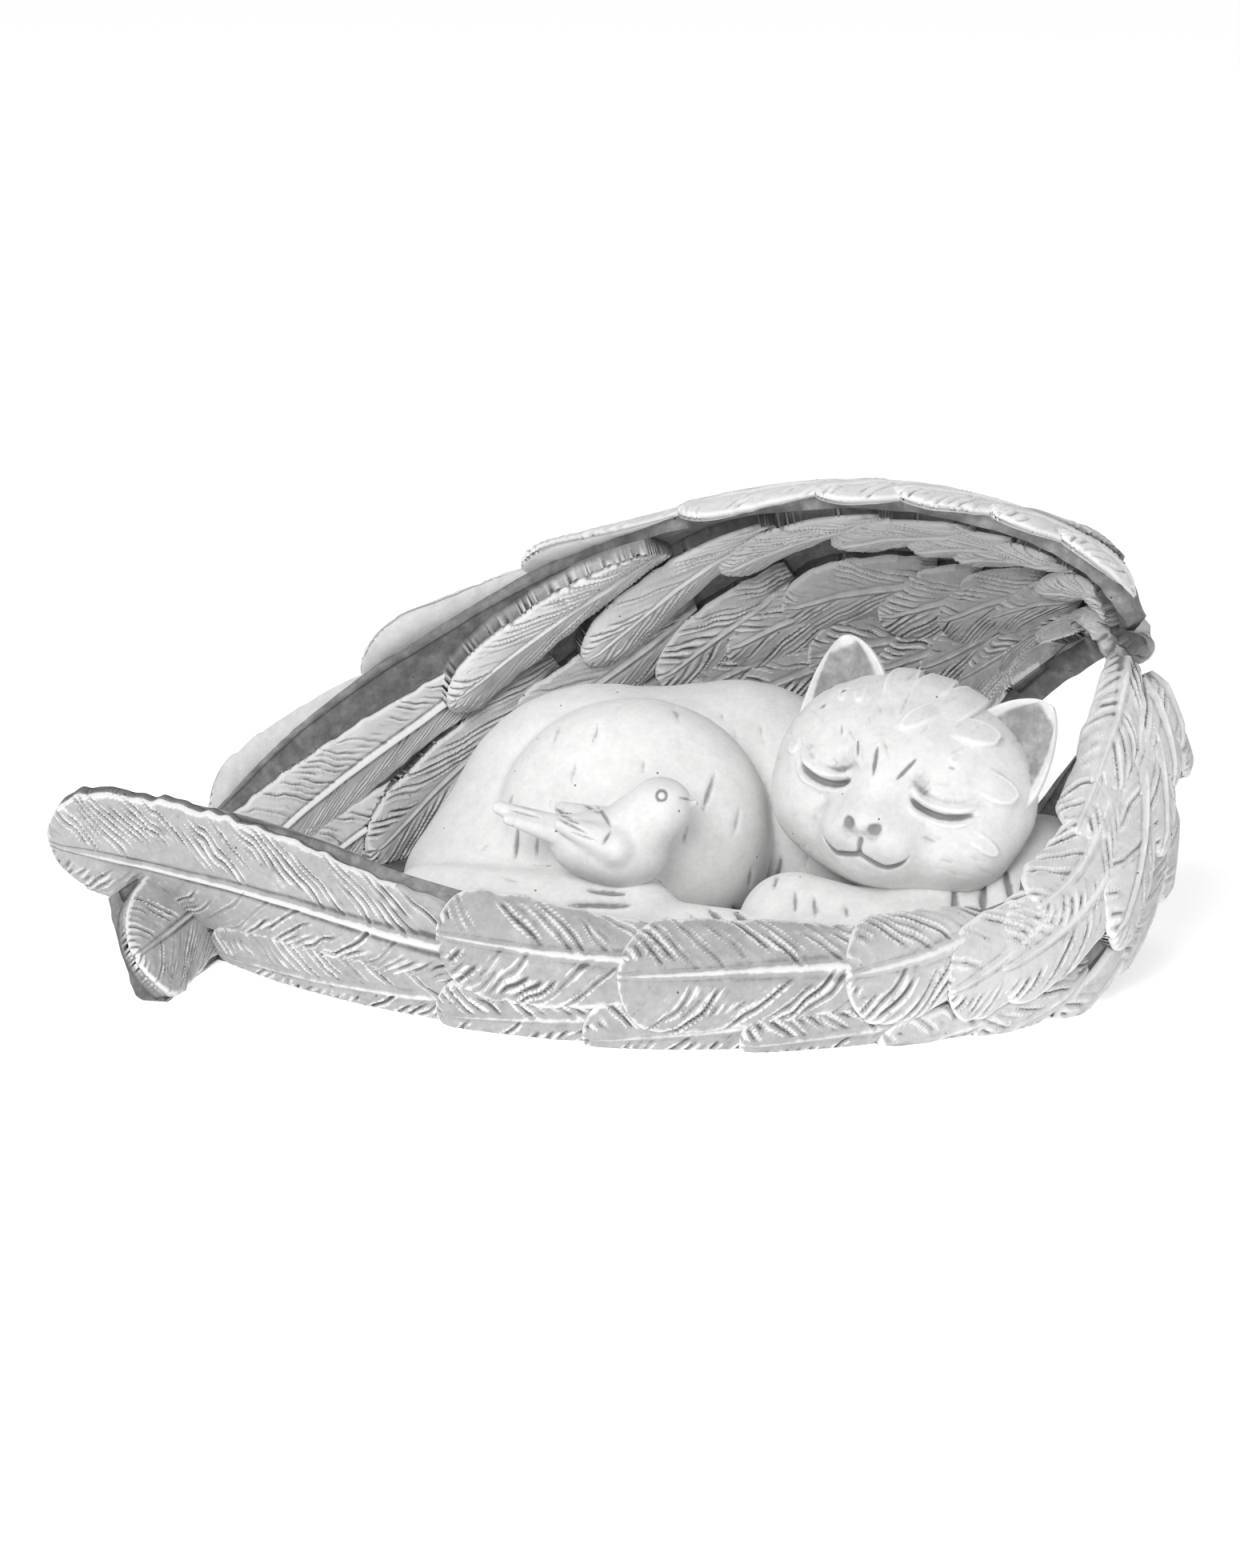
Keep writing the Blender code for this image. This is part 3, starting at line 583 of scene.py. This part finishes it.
feather_group("front_inner_feathers", made, 0.55)
root, tip, width = FRONT_PRIMARY
made = [feather(FRONT_SHEET, -INWARD["front"], root, tip, width, 0.4, 2.6, 160, quill=1.4, barb=2.5)]
feather_group("front_primary", made, 0.46)


# Cat: curled on its side with its hind leg folded, its tail tip and forelegs in front of it.
# The masses are blended as soft flesh, with firm creases where a limb lies against the body.
def ellipsoid_field(points, centre, radii):
    """Approximate distance to an ellipsoid, negative inside."""
    local = (points - centre) / radii
    far = np.linalg.norm(local, axis=1)
    slope = np.linalg.norm(local / radii, axis=1) + 1e-9
    return far * (far - 1) / slope


def limb_field(points, start, start_radius, end, end_radius):
    """Distance to a tapered limb with round ends, negative inside."""
    start, end = np.array(start, float), np.array(end, float)
    axis = end - start
    share = np.clip((points - start) @ axis / (axis @ axis), 0, 1)
    gap = np.linalg.norm(points - start - share[:, None] * axis, axis=1)
    return gap - (start_radius + (end_radius - start_radius) * share)


def blend(first, second, softness):
    """Union of two fields with a fillet of about the softness given."""
    mix = np.clip(0.5 + 0.5 * (second - first) / softness, 0, 1)
    return second * (1 - mix) + first * mix - softness * mix * (1 - mix)


# Each mass: kind, its sizes, and how softly it blends into those before it
CAT_MASSES = [
    ("ball", (-22, -6, 16), (27, 27, 20), 1),
    ("ball", (-4, 6, 27), (34, 28, 32), 10),
    ("ball", (26, 14, 27), (32, 23, 31), 10),
    ("ball", (54, 0, 26), (26, 22, 25), 8),
    ("ball", (3, -13, 30), (31, 23, 31), 1.4),
    ("limb", (-42, -30, 19), 9.0, (2, -41, 20), 8.5, 5),
    ("ball", (5, -43, 19), (9, 8, 8.5), 3),
    ("limb", (10, -44, 15), 9.0, (28, -47, 14), 8.5, 1.5),
    ("limb", (38, -38, 16), 12.5, (66, -48, 14), 10.0, 3),
    ("ball", (66, -37, 18), (17, 11, 10), 3),
    ("limb", (92, -22, 24), 13.0, (84, -36, 18), 11.0, 2),
    ("ball", (62, -50, 14), (5.5, 8, 8), 1.2),
    ("ball", (70, -51, 14), (5.5, 8, 8), 1.2),
    ("ball", (76, -49, 14), (5.5, 8, 8), 1.2),
    ("ball", (77, -42, 17), (5.5, 8, 8), 1.2),
    ("ball", (84, -41, 18), (5.5, 8, 8), 1.2),
    ("ball", (91, -37, 19), (5.5, 8, 8), 1.2),
]


def field_of(masses, points):
    """The blended field of a list of masses."""
    total = None
    for mass in masses:
        if mass[0] == "ball":
            value = ellipsoid_field(points, np.array(mass[1], float), np.array(mass[2], float))
        else:
            value = limb_field(points, *mass[1:5])
        total = value if total is None else blend(total, value, mass[-1])
    return total


def rough_union(name, masses, voxel):
    """Quad mesh near the union of the masses: simple balls and limbs, remeshed as one skin."""
    draft = bmesh.new()
    for mass in masses:
        if mass[0] == "ball":
            places = [(np.array(mass[1], float), np.array(mass[2], float))]
        else:
            start, end = np.array(mass[1], float), np.array(mass[3], float)
            steps = max(3, int(np.linalg.norm(end - start) / 2.5))
            places = [
                (start + (end - start) * k, np.full(3, mass[2] + (mass[4] - mass[2]) * k))
                for k in np.linspace(0, 1, steps)
            ]
        for centre, radii in places:
            matrix = Matrix.Translation(Vector(centre)) @ Matrix.Diagonal((*radii, 1.0))
            bmesh.ops.create_icosphere(draft, subdivisions=4, radius=1.0, matrix=matrix)
    mesh = bpy.data.meshes.new(name)
    draft.to_mesh(mesh)
    draft.free()
    helper = bpy.data.objects.new(name, mesh)
    bpy.context.scene.collection.objects.link(helper)
    skin = helper.modifiers.new("skin", "REMESH")
    skin.mode = "VOXEL"
    skin.voxel_size = voxel
    skin.adaptivity = 0.0
    made = helper.evaluated_get(bpy.context.evaluated_depsgraph_get()).to_mesh()
    points = np.empty(len(made.vertices) * 3, np.float32)
    made.vertices.foreach_get("co", points)
    sizes = np.empty(len(made.polygons), np.int32)
    made.polygons.foreach_get("loop_total", sizes)
    corners = np.empty(len(made.loops), np.int32)
    made.loops.foreach_get("vertex_index", corners)
    if not (sizes == 4).all():
        raise SystemExit("the remeshed skin has faces that are not quads")
    bpy.data.objects.remove(helper)
    bpy.data.meshes.remove(mesh)
    return points.reshape(-1, 3).astype(float), corners.reshape(-1, 4)


def field_slope(masses, points):
    """Direction in which the field grows."""
    step = 0.05
    slope = np.stack(
        [
            field_of(masses, points + offset) - field_of(masses, points - offset)
            for offset in np.eye(3) * step
        ],
        -1,
    )
    return slope / (2 * step)


def settle(masses, points, rounds=5):
    """Moves points onto the blended surface."""
    for _ in range(rounds):
        value = field_of(masses, points)
        slope = field_slope(masses, points)
        size = (slope**2).sum(1) + 1e-6
        points = points - (np.clip(value, -1.5, 1.5) / size)[:, None] * slope
    return points, slope / np.sqrt(size)[:, None]


def view_place(points):
    """Place on the picture, in millimetres to the right of the aim and above it, as the camera sees it."""
    gap = points - np.array(AIM)
    nearness = DISTANCE / (DISTANCE - gap @ TOWARDS_CAMERA)
    upwards = np.array([0.0, TOWARDS_CAMERA[2], -TOWARDS_CAMERA[1]])
    return np.stack([gap[:, 0] * nearness, gap @ upwards * nearness], -1)


def stroke_field(flat, strokes):
    """Grooves on a plane: each stroke is a line from a start to an end, with a width and a depth, and is
    deepest in its middle."""
    depth = np.zeros(len(flat))
    for (x0, y0), (x1, y1), wide, deep in strokes:
        start, axis = np.array([x0, y0]), np.array([x1 - x0, y1 - y0])
        share = np.clip((flat - start) @ axis / (axis @ axis + 1e-9), 0, 1)
        gap = np.linalg.norm(flat - start - share[:, None] * axis, axis=1)
        taper = np.sqrt(np.clip(4 * share * (1 - share), 0, 1)) * 0.8 + 0.2
        depth = np.maximum(depth, deep * taper * np.exp(-((gap / (wide * taper)) ** 2)))
    return depth


# Strokes scored between the toes and along the fur: start and end on the picture, width and depth
BODY_STROKES = [
    ((-5.0, 14.4), (-5.9, 8.8), 0.55, 0.5),
    ((21.6, 3.1), (18.5, -6.5), 0.6, 0.6),
    ((5.4, 5.6), (4.9, 2.0), 0.5, 0.4),
    ((-23.2, -8.8), (-23.8, -18.0), 0.55, 0.7),
    ((-18.7, -11.9), (-19.1, -17.1), 0.5, 0.6),
    ((36.2, -16.2), (34.4, -23.9), 0.6, 0.7),
    ((39.6, -23.6), (39.4, -28.8), 0.6, 0.6),
    ((43.6, -24.8), (44.1, -30.1), 0.6, 0.6),
    ((50.2, -26.8), (51.5, -30.4), 0.6, 0.6),
    ((-7.7, -23.9), (1.6, -24.7), 0.6, 0.9),
    ((-12.4, -27.4), (3.1, -27.4), 0.65, 0.9),
    ((19.8, -27.7), (25.6, -33.7), 0.7, 0.9),
    ((25.2, -27.4), (31.1, -34.6), 0.7, 0.9),
    ((15.7, -28.8), (18.9, -34.2), 0.6, 0.6),
    ((60.1, -29.0), (63.7, -30.8), 0.6, 0.7),
    ((67.5, -27.5), (71.1, -32.4), 0.6, 0.7),
    ((75.2, -22.9), (75.8, -32.8), 0.8, 1.0),
    ((81.2, -19.1), (82.1, -30.8), 0.8, 1.0),
    ((86.4, -18.5), (88.6, -28.1), 0.8, 1.0),
    ((12.1, 18.0), (13.5, 13.5), 0.5, 0.35),
    ((-13.5, 13.5), (-15.3, 9.0), 0.5, 0.35),
    ((25.2, 13.5), (26.5, 9.0), 0.5, 0.35),
    ((15.3, -9.0), (13.9, -14.4), 0.5, 0.4),
    ((22.5, 16.2), (23.6, 14.0), 0.5, 0.3),
    ((27.0, -5.4), (25.7, -11.7), 0.55, 0.4),
    ((-9.9, 5.4), (-11.3, -0.9), 0.5, 0.35),
    ((-0.5, 18.0), (-0.9, 14.4), 0.45, 0.3),
    ((-15.3, -1.8), (-16.4, -7.2), 0.45, 0.35),
    ((-24.3, -1.8), (-25.7, -7.2), 0.45, 0.35),
    ((31.5, 13.5), (32.4, 9.0), 0.5, 0.4),
    ((42.3, -15.3), (41.2, -19.8), 0.5, 0.4),
    ((29.7, -18.9), (29.0, -23.4), 0.5, 0.4),
    ((-31.5, -15.3), (-29.3, -13.0), 0.5, 0.4),
    ((-27.9, -20.7), (-22.5, -22.0), 0.5, 0.35),
]
points, quads = rough_union("cat_draft", CAT_MASSES, 0.68)
points, normals = settle(CAT_MASSES, points)
facing = np.clip(normals @ TOWARDS_CAMERA * 3, 0, 1)
scored = facing * stroke_field(view_place(points), BODY_STROKES)
uneven = 0.12 * rounded_noise(points[:, 0] / 4, points[:, 2] / 4 + points[:, 1] / 9, 31)
points = points + (uneven - scored)[:, None] * normals
cast_piece("cat_body", points, [quads], 0.1 - 1.3 * scored, 0.86)


# Head: lies on the forelegs, turned and tipped towards the onlooker, its eyes shut. The forms of the face
# are modelled in the casting and the tufts of fur are raised flat locks.
HEAD_CENTRE = np.array((62.7, -25.0, 44.8))
HEAD_RADII = np.array((29.4, 23.0, 24.0))
HEAD_YAW = -17
HEAD_ROLL = 17
HEAD_TIP = 16
# Forms of the face: place to the side and up from the head's centre, spread to the side and up, and rise
FACE_FORMS = [
    (4.9, -11.4, 4.0, 3.7, 5.4),
    (0.0, -3.6, 3.2, 6.0, 4.0),
    (0.0, -7.6, 3.2, 2.0, 2.6),
    (0.0, -10.8, 1.2, 1.0, -1.4),
    (0.0, -18.6, 5.5, 2.6, 3.2),
    (0.0, 9.0, 8.0, 7.0, 1.4),
    (5.6, 4.5, 2.8, 5.0, 1.3),
    (9.0, 0.4, 3.4, 3.4, -0.9),
    (13.4, -3.2, 7.4, 4.6, -2.6),
    (13.4, -1.2, 5.8, 2.3, 1.9),
    (19.5, -11.0, 6.5, 6.0, 2.8),
    (11.4, -9.4, 1.7, 4.0, -1.6),
]
# Painted shade together with the wash left beside the nose bridge, in the nostrils and behind the muzzle: as
# above, with its darkness
FACE_SHADE_AND_WASH = [
    (8.4, 0.6, 3.2, 3.2, 0.42),
    (2.0, -9.4, 1.6, 1.6, 0.45),
    (12.0, -9.5, 1.6, 4.0, 0.35),
]
EYE_INNER, EYE_OUTER = 6.4, 20.8
NOSTRIL = (2.3, -8.6)
roll = Matrix.Rotation(np.radians(HEAD_ROLL), 3, "Y")
tilt = Matrix.Rotation(np.radians(-HEAD_TIP), 3, "X")
yaw = Matrix.Rotation(np.radians(HEAD_YAW), 3, "Z")
FACE = np.array(tilt @ roll @ yaw)


def on_face(points):
    """Points given from the head's centre: to the onlooker's right, towards the nape, and to the crown."""
    return np.asarray(points, float) @ FACE.T + HEAD_CENTRE


def eyelid_line(x):
    """Height of the shut lids' line at a distance from the middle of the face."""
    return -4.9 + 0.055 * (x - 13.0) ** 2


def head_forms(x, z):
    """How far the face stands out of the head's ellipsoid, and its tone, at a place seen from the front."""
    rise = np.zeros(x.shape)
    for side, up, spread_x, spread_z, amount in FACE_FORMS:
        for sign in (-1, 1) if side else (1,):
            rise += amount * np.exp(-(((x - sign * side) / spread_x) ** 2 + ((z - up) / spread_z) ** 2) / 2)
    tone = np.zeros(x.shape)
    wide = np.abs(x)

    # Shut eyes: a deep line between a thick upper lid and a thin lower one
    along = np.clip((wide - EYE_INNER) / 2.2, 0, 1) * np.clip((EYE_OUTER - wide) / 2.6, 0, 1)
    gap = z - eyelid_line(wide)
    line = along * np.exp(-((gap / 0.72) ** 2))
    upper = along * np.exp(-(((gap - 1.75) / 0.85) ** 2))
    lower = along * np.exp(-(((gap + 1.5) / 0.6) ** 2))
    crease = along * np.exp(-(((gap - 3.5) / 0.7) ** 2))
    rise += -1.5 * line + 1.0 * upper + 0.75 * lower - 0.5 * crease
    tone += -1.7 * line - 0.35 * crease + 0.5 * upper + 0.5 * lower

    # Mouth: from the groove under the nose down and out to the cheeks
    mouth = np.where(wide < 4.5, -14.2 - 0.35 * wide, -15.8 + 0.13 * (wide - 4.5) ** 2)
    within = np.clip((9.4 - wide) / 2.2, 0, 1)
    cut = within * np.exp(-(((z - mouth) / 0.55) ** 2))
    groove = np.exp(-((x / 0.5) ** 2)) * np.clip((z + 14.6) / 0.8, 0, 1) * np.clip((-10.6 - z) / 0.8, 0, 1)
    rise += -1.0 * cut - 0.55 * groove
    tone += -1.5 * cut - 1.0 * groove
    across, up = NOSTRIL
    nostril = sum(np.exp(-(((x - s * across) / 0.9) ** 2) - ((z - up) / 0.7) ** 2) for s in (-1, 1))
    rise += -1.2 * nostril
    tone += -1.5 * nostril
    for side, up, spread_x, spread_z, amount in FACE_SHADE_AND_WASH:
        tone -= amount * np.exp(-(((wide - side) / spread_x) ** 2 + ((z - up) / spread_z) ** 2))
    return rise, tone


# Strokes scored in the brow and locks raised on the head, on the plane of the face: root, tip, width and
# depth or rise
BROW_STROKES = [
    ((-2.4, 5.4), (-1.1, -0.6), 0.42, 0.6),
    ((5.7, 5.2), (3.2, 0.0), 0.42, 0.6),
    ((-7.4, 5.8), (-6.2, 2.4), 0.40, 0.4),
    ((-13.2, 8.4), (-12.2, 6.2), 0.38, 0.4),
    ((12.4, 6.3), (14.2, 6.0), 0.38, 0.4),
    ((-17.6, 14.6), (-15.4, 16.2), 0.4, 0.5),
    ((-19.6, 12.0), (-20.4, 10.4), 0.4, 0.4),
]
LOCKS = [
    ((6.3, 18.8), (0.2, 10.0), 5.0, 0.9),
    ((-3.0, 15.5), (-6.6, 25.0), 7.5, 1.5),
    ((1.5, 17.0), (2.2, 25.5), 8.0, 1.5),
    ((6.0, 15.0), (11.0, 24.0), 8.5, 1.6),
    ((9.0, 15.0), (19.0, 14.2), 6.0, 1.7),
    ((18.0, 6.0), (26.0, 3.2), 6.5, 1.7),
    ((19.0, -6.0), (25.0, -8.2), 3.8, 0.9),
    ((-13.5, 19.0), (-11.0, 13.5), 3.6, 0.7),
    ((-17.5, 17.5), (-15.5, 13.0), 3.2, 0.6),
    ((14.0, 8.8), (12.0, 6.6), 3.0, 0.5),
    ((-24.0, 4.0), (-22.5, -1.0), 3.4, 0.7),
]


def lock_form(x, z):
    """Raised locks of fur: each rises from its root to a round tip that stands off the head."""
    rise, tone = np.zeros(x.shape), np.zeros(x.shape)
    for (x0, z0), (x1, z1), width, amount in LOCKS:
        length = np.hypot(x1 - x0, z1 - z0)
        ahead, aside = (x1 - x0) / length, (z1 - z0) / length
        s = ((x - x0) * ahead + (z - z0) * aside) / length
        w = -(x - x0) * aside + (z - z0) * ahead
        half = width / 2 * np.sqrt(np.clip(1 - np.clip((s - 0.5) / 0.5, 0, 1) ** 2, 0, 1))
        edge = np.minimum((half - np.abs(w)) / 0.5, (1 - s) * length / 0.5)
        inside = np.clip(edge, 0, 1) * np.clip(s * 2.2, 0, 1)
        height = amount * inside * np.clip(0.35 + 0.65 * s, 0, 1)
        rise = np.maximum(rise, height)
        rim = np.exp(-((edge - 0.1) / 0.5) ** 2) * (s > 0.3) * (s < 1.12) * (np.abs(w) < half + 0.8)
        tone = np.maximum(tone, 0.6 * inside * (edge < 2.2) * (s > 0.2))
        # Painted shadow: a dark band just outside each lock's edge, where the lock stands off the head
        tone -= 0.6 * rim * (edge < 0)
    return rise, tone


def scattered_strokes(count, seed, box, length, heading):
    """Short fur strokes scattered over a box of a plane, turned to a heading that depends on the place."""
    random = np.random.default_rng(seed)
    strokes = []
    for x, y in random.uniform(box[0], box[1], (count, 2)):
        turn = heading(x, y) + random.normal(0, 0.22)
        reach = random.uniform(*length) / 2
        step = np.array([np.cos(turn), np.sin(turn)]) * reach
        start, end = (x - step[0], y - step[1]), (x + step[0], y + step[1])
        strokes.append((start, end, random.uniform(0.28, 0.42), random.uniform(0.10, 0.28)))
    return strokes


# Head's skin: rings of points round the crown, closest together across the face
fur = scattered_strokes(150, 5, ((-27, -21), (27, 23)), (2.2, 5.0), lambda x, z: np.arctan2(z + 9, x) + 0.1)
fur = [stroke for stroke in fur if np.hypot(stroke[0][0], stroke[0][1] + 9) > 9]
turns = np.linspace(-1, 1, 421)[:-1]
turns = np.pi * (0.60 * turns + 0.40 * turns**3)
heights = np.radians(89.0) * np.linspace(-1, 1, 261)
turn, height = np.meshgrid(turns, heights, indexing="ij")
way = np.stack([np.sin(turn) * np.cos(height), -np.cos(turn) * np.cos(height), np.sin(height)], -1)
reach = 1 / np.linalg.norm(way / HEAD_RADII, axis=-1)
x, z = way[..., 0] * reach, way[..., 2] * reach
front = np.clip(-way[..., 1] * 6 + 0.4, 0, 1)
rise, tone = head_forms(x, z)
lock_rise, lock_tone = lock_form(x, z)
brow = stroke_field(np.stack([x.ravel(), z.ravel()], -1), BROW_STROKES).reshape(x.shape)
hair = stroke_field(np.stack([x.ravel(), z.ravel()], -1), fur).reshape(x.shape)
skin = 0.12 * rounded_noise(x / 3, z / 3, 7) + 0.06 * rounded_noise(x / 1.2, z / 1.2, 8)
reach = reach + front * (rise + lock_rise - brow - hair) + skin
tone = front * (tone + lock_tone - 1.8 * brow - 1.2 * hair) + 0.10
crown = on_face(np.array([[0, 0, HEAD_RADII[2]], [0, 0, -HEAD_RADII[2]]]))
points = np.concatenate([on_face(way * reach[..., None]).reshape(-1, 3), crown])
count, levels = x.shape
at = np.arange(count * levels).reshape(count, levels)
next_ring = np.roll(at, -1, axis=0)
quads = np.stack([at[:, :-1], next_ring[:, :-1], next_ring[:, 1:], at[:, 1:]], -1).reshape(-1, 4)
top = np.stack([at[:, -1], next_ring[:, -1], np.full(count, count * levels)], -1)
bottom = np.stack([next_ring[:, 0], at[:, 0], np.full(count, count * levels + 1)], -1)
cast_piece("cat_head", points, [quads, top, bottom], np.append(tone.ravel(), [0, 0]), 0.79)

# Ears: upright rounded triangles, hollow in front, part of the same casting
EAR_ALONG_BASE = np.array((0.765, -0.645))
EAR_HALF_WIDTH = 11.0
s, t = np.meshgrid(np.linspace(-1, 1, 61), np.linspace(-0.45, 1, 91), indexing="ij")
narrow = np.where(t < 0, 1.0 - 0.1 * t, np.clip(1 - t**1.35, 0, 1) ** 0.62)
hollow = (1 - s**2) ** 1.1 * np.clip(narrow, 0.1, 1)
for name, side, base, tip in (
    ("cat_ear_left", -1, (17.8, 12.6), (22.8, 27.6)),
    ("cat_ear_right", 1, (20.8, 12.2), (26.8, 25.4)),
):
    base, tip = np.array(base), np.array(tip)
    place = base + (tip - base) * t[..., None] + EAR_ALONG_BASE * (EAR_HALF_WIDTH * s * narrow)[..., None]
    rough = 0.15 * rounded_noise(place[..., 0] / 1.6, place[..., 1] / 1.6, 12)
    lean = -5.5 + 2.0 * np.clip(t, 0, 1)
    ear_front = lean + 3.6 * hollow + rough - 2.0 * np.clip(-t, 0, 1)
    ear_back = lean + 2.2 + (5.0 - 1.5 * t) * (1 - s**2) ** 0.7 * np.clip(narrow, 0.2, 1)
    front_points = on_face(np.stack([side * place[..., 0], ear_front, place[..., 1]], -1))
    back_points = on_face(np.stack([side * place[..., 0], ear_back, place[..., 1]], -1))
    points, faces = closed_between(front_points, back_points)
    edge = np.minimum(1 - np.abs(s), 1.4 * (1 - t)) * 6
    inner = 0.75 - 1.35 * np.clip(edge / 1.6, 0, 1)
    cast_piece(name, points, faces, np.concatenate([inner.ravel(), np.full(inner.size, 0.2)]), 0.78)


# Bird: a small songbird that stands on the cat's hind foot and leans on its thigh
BIRD_MASSES = [
    ("ball", (-3.0, -40.5, 36.0), (12.0, 7.6, 7.8), 1),
    ("ball", (1.5, -41, 34.5), (8.5, 7.4, 7.6), 4),
    ("ball", (9.0, -41.0, 45.0), (6.4, 6.0, 5.9), 5),
    ("limb", (4.0, -41, 41.0), 6.4, (8.0, -41, 44.0), 5.6, 3),
    ("limb", (13.6, -41.6, 45.6), 1.7, (17.2, -42.0, 45.9), 0.35, 1.0),
    ("limb", (-13.0, -40.5, 39.5), 3.0, (-26.0, -41.5, 44.6), 1.5, 3),
    ("limb", (-12.0, -42.5, 38.2), 2.4, (-24.0, -43.5, 42.6), 1.2, 0.8),
    ("limb", (-1.0, -46.6, 37.4), 4.2, (-12.5, -45.6, 42.0), 1.7, 1.2),
    ("limb", (-1.0, -34.6, 38.4), 4.2, (-12.5, -36.0, 42.6), 1.7, 1.2),
]
# Feathers of its wing and tail, the edge of its cheek and its beak, scored; the eye is a small ring
BIRD_STROKES = [
    ((-15.3, -5.4), (-8.8, -9.0), 0.45, 0.55),
    ((-14.0, -7.6), (-7.2, -11.2), 0.45, 0.55),
    ((-11.3, -10.8), (-4.9, -13.0), 0.42, 0.5),
    ((-9.9, -3.2), (-4.1, -6.8), 0.42, 0.45),
    ((-24.3, -4.3), (-17.1, -5.8), 0.42, 0.5),
    ((-25.0, -5.8), (-17.8, -7.6), 0.4, 0.45),
    ((-5.4, -4.1), (-1.8, -9.9), 0.5, 0.5),
    ((-1.8, -9.9), (-4.1, -14.0), 0.45, 0.45),
    ((13.1, -2.9), (16.7, -3.6), 0.35, 0.45),
]
BIRD_EYE = (9.4, -2.5)
points, quads = rough_union("bird_draft", BIRD_MASSES, 0.36)
points, normals = settle(BIRD_MASSES, points)
flat = view_place(points)
facing = np.clip(normals @ TOWARDS_CAMERA * 3, 0, 1)
from_eye = np.linalg.norm(flat - BIRD_EYE, axis=1)
scored = facing * stroke_field(flat, BIRD_STROKES)
socket = facing * np.exp(-(((from_eye - 1.15) / 0.38) ** 2))
pupil = facing * np.exp(-((from_eye / 0.6) ** 2))
points = points + (0.35 * pupil - 0.55 * socket - scored)[:, None] * normals
cast_piece("bird", points, [quads], 0.12 - 1.6 * scored - 1.0 * socket + 0.3 * pupil, 0.80)

# Floor of the nest
u = np.linspace(0.02, 0.80, 40)
rear_edge = sheet_point(REAR_SHEET, np.linspace(0.86, 0.24, 40), 0.04)
edge = np.concatenate([sheet_point(FRONT_SHEET, u, 0.12), rear_edge])
outline = edge[:, :2]
low = np.column_stack([outline, np.full(len(outline), 0.0)])
high = np.column_stack([outline * 0.985, np.full(len(outline), 9.0)])
count = len(outline)
ring = np.arange(count)
after = np.roll(ring, -1)
turned = np.sum(outline[:, 0] * outline[after, 1] - outline[after, 0] * outline[:, 1]) > 0
wall = np.stack([ring, after, after + count, ring + count], -1)
under, over = ring[::-1][None, :], (ring + count)[None, :]
if not turned:
    wall, under, over = wall[:, ::-1], under[:, ::-1], over[:, ::-1]
cast_piece("nest_floor", np.concatenate([low, high]), [wall, under, over], -0.6, 0.55)

# Floor and lights
stage_mesh = bpy.data.meshes.new("studio_floor")
stage_mesh.from_pydata([(-3, -3, 0), (3, -3, 0), (3, 3, 0), (-3, 3, 0)], [], [(0, 1, 2, 3)])
paper = bpy.data.materials.new("paper")
paper.use_nodes = True
paper.node_tree.nodes["Principled BSDF"].inputs["Base Color"].default_value = (0.93, 0.93, 0.93, 1)
paper.node_tree.nodes["Principled BSDF"].inputs["Roughness"].default_value = 0.9
paper.node_tree.nodes["Principled BSDF"].inputs["Emission Color"].default_value = (1, 1, 1, 1)
paper.node_tree.nodes["Principled BSDF"].inputs["Emission Strength"].default_value = 0.50
stage_mesh.materials.append(paper)
stage = bpy.data.objects.new("studio_floor", stage_mesh)
bpy.context.scene.collection.objects.link(stage)

world = bpy.data.worlds.new("studio")
bpy.context.scene.world = world
world.use_nodes = True
world.node_tree.nodes["Background"].inputs["Color"].default_value = (1, 1, 1, 1)
world.node_tree.nodes["Background"].inputs["Strength"].default_value = 0.50


def area_light(name, place, aim, size, power):
    light = bpy.data.lights.new(name, "AREA")
    light.shape = "DISK"
    light.size = size
    light.energy = power
    lamp = bpy.data.objects.new(name, light)
    bpy.context.scene.collection.objects.link(lamp)
    lamp.location = place
    lamp.rotation_euler = (Vector(aim) - Vector(place)).to_track_quat("-Z", "Y").to_euler()


area_light("key", (-0.45, -1.15, 0.95), (0, 0, 0.04), 0.8, 12.5)
bpy.context.scene.view_settings.view_transform = "Standard"
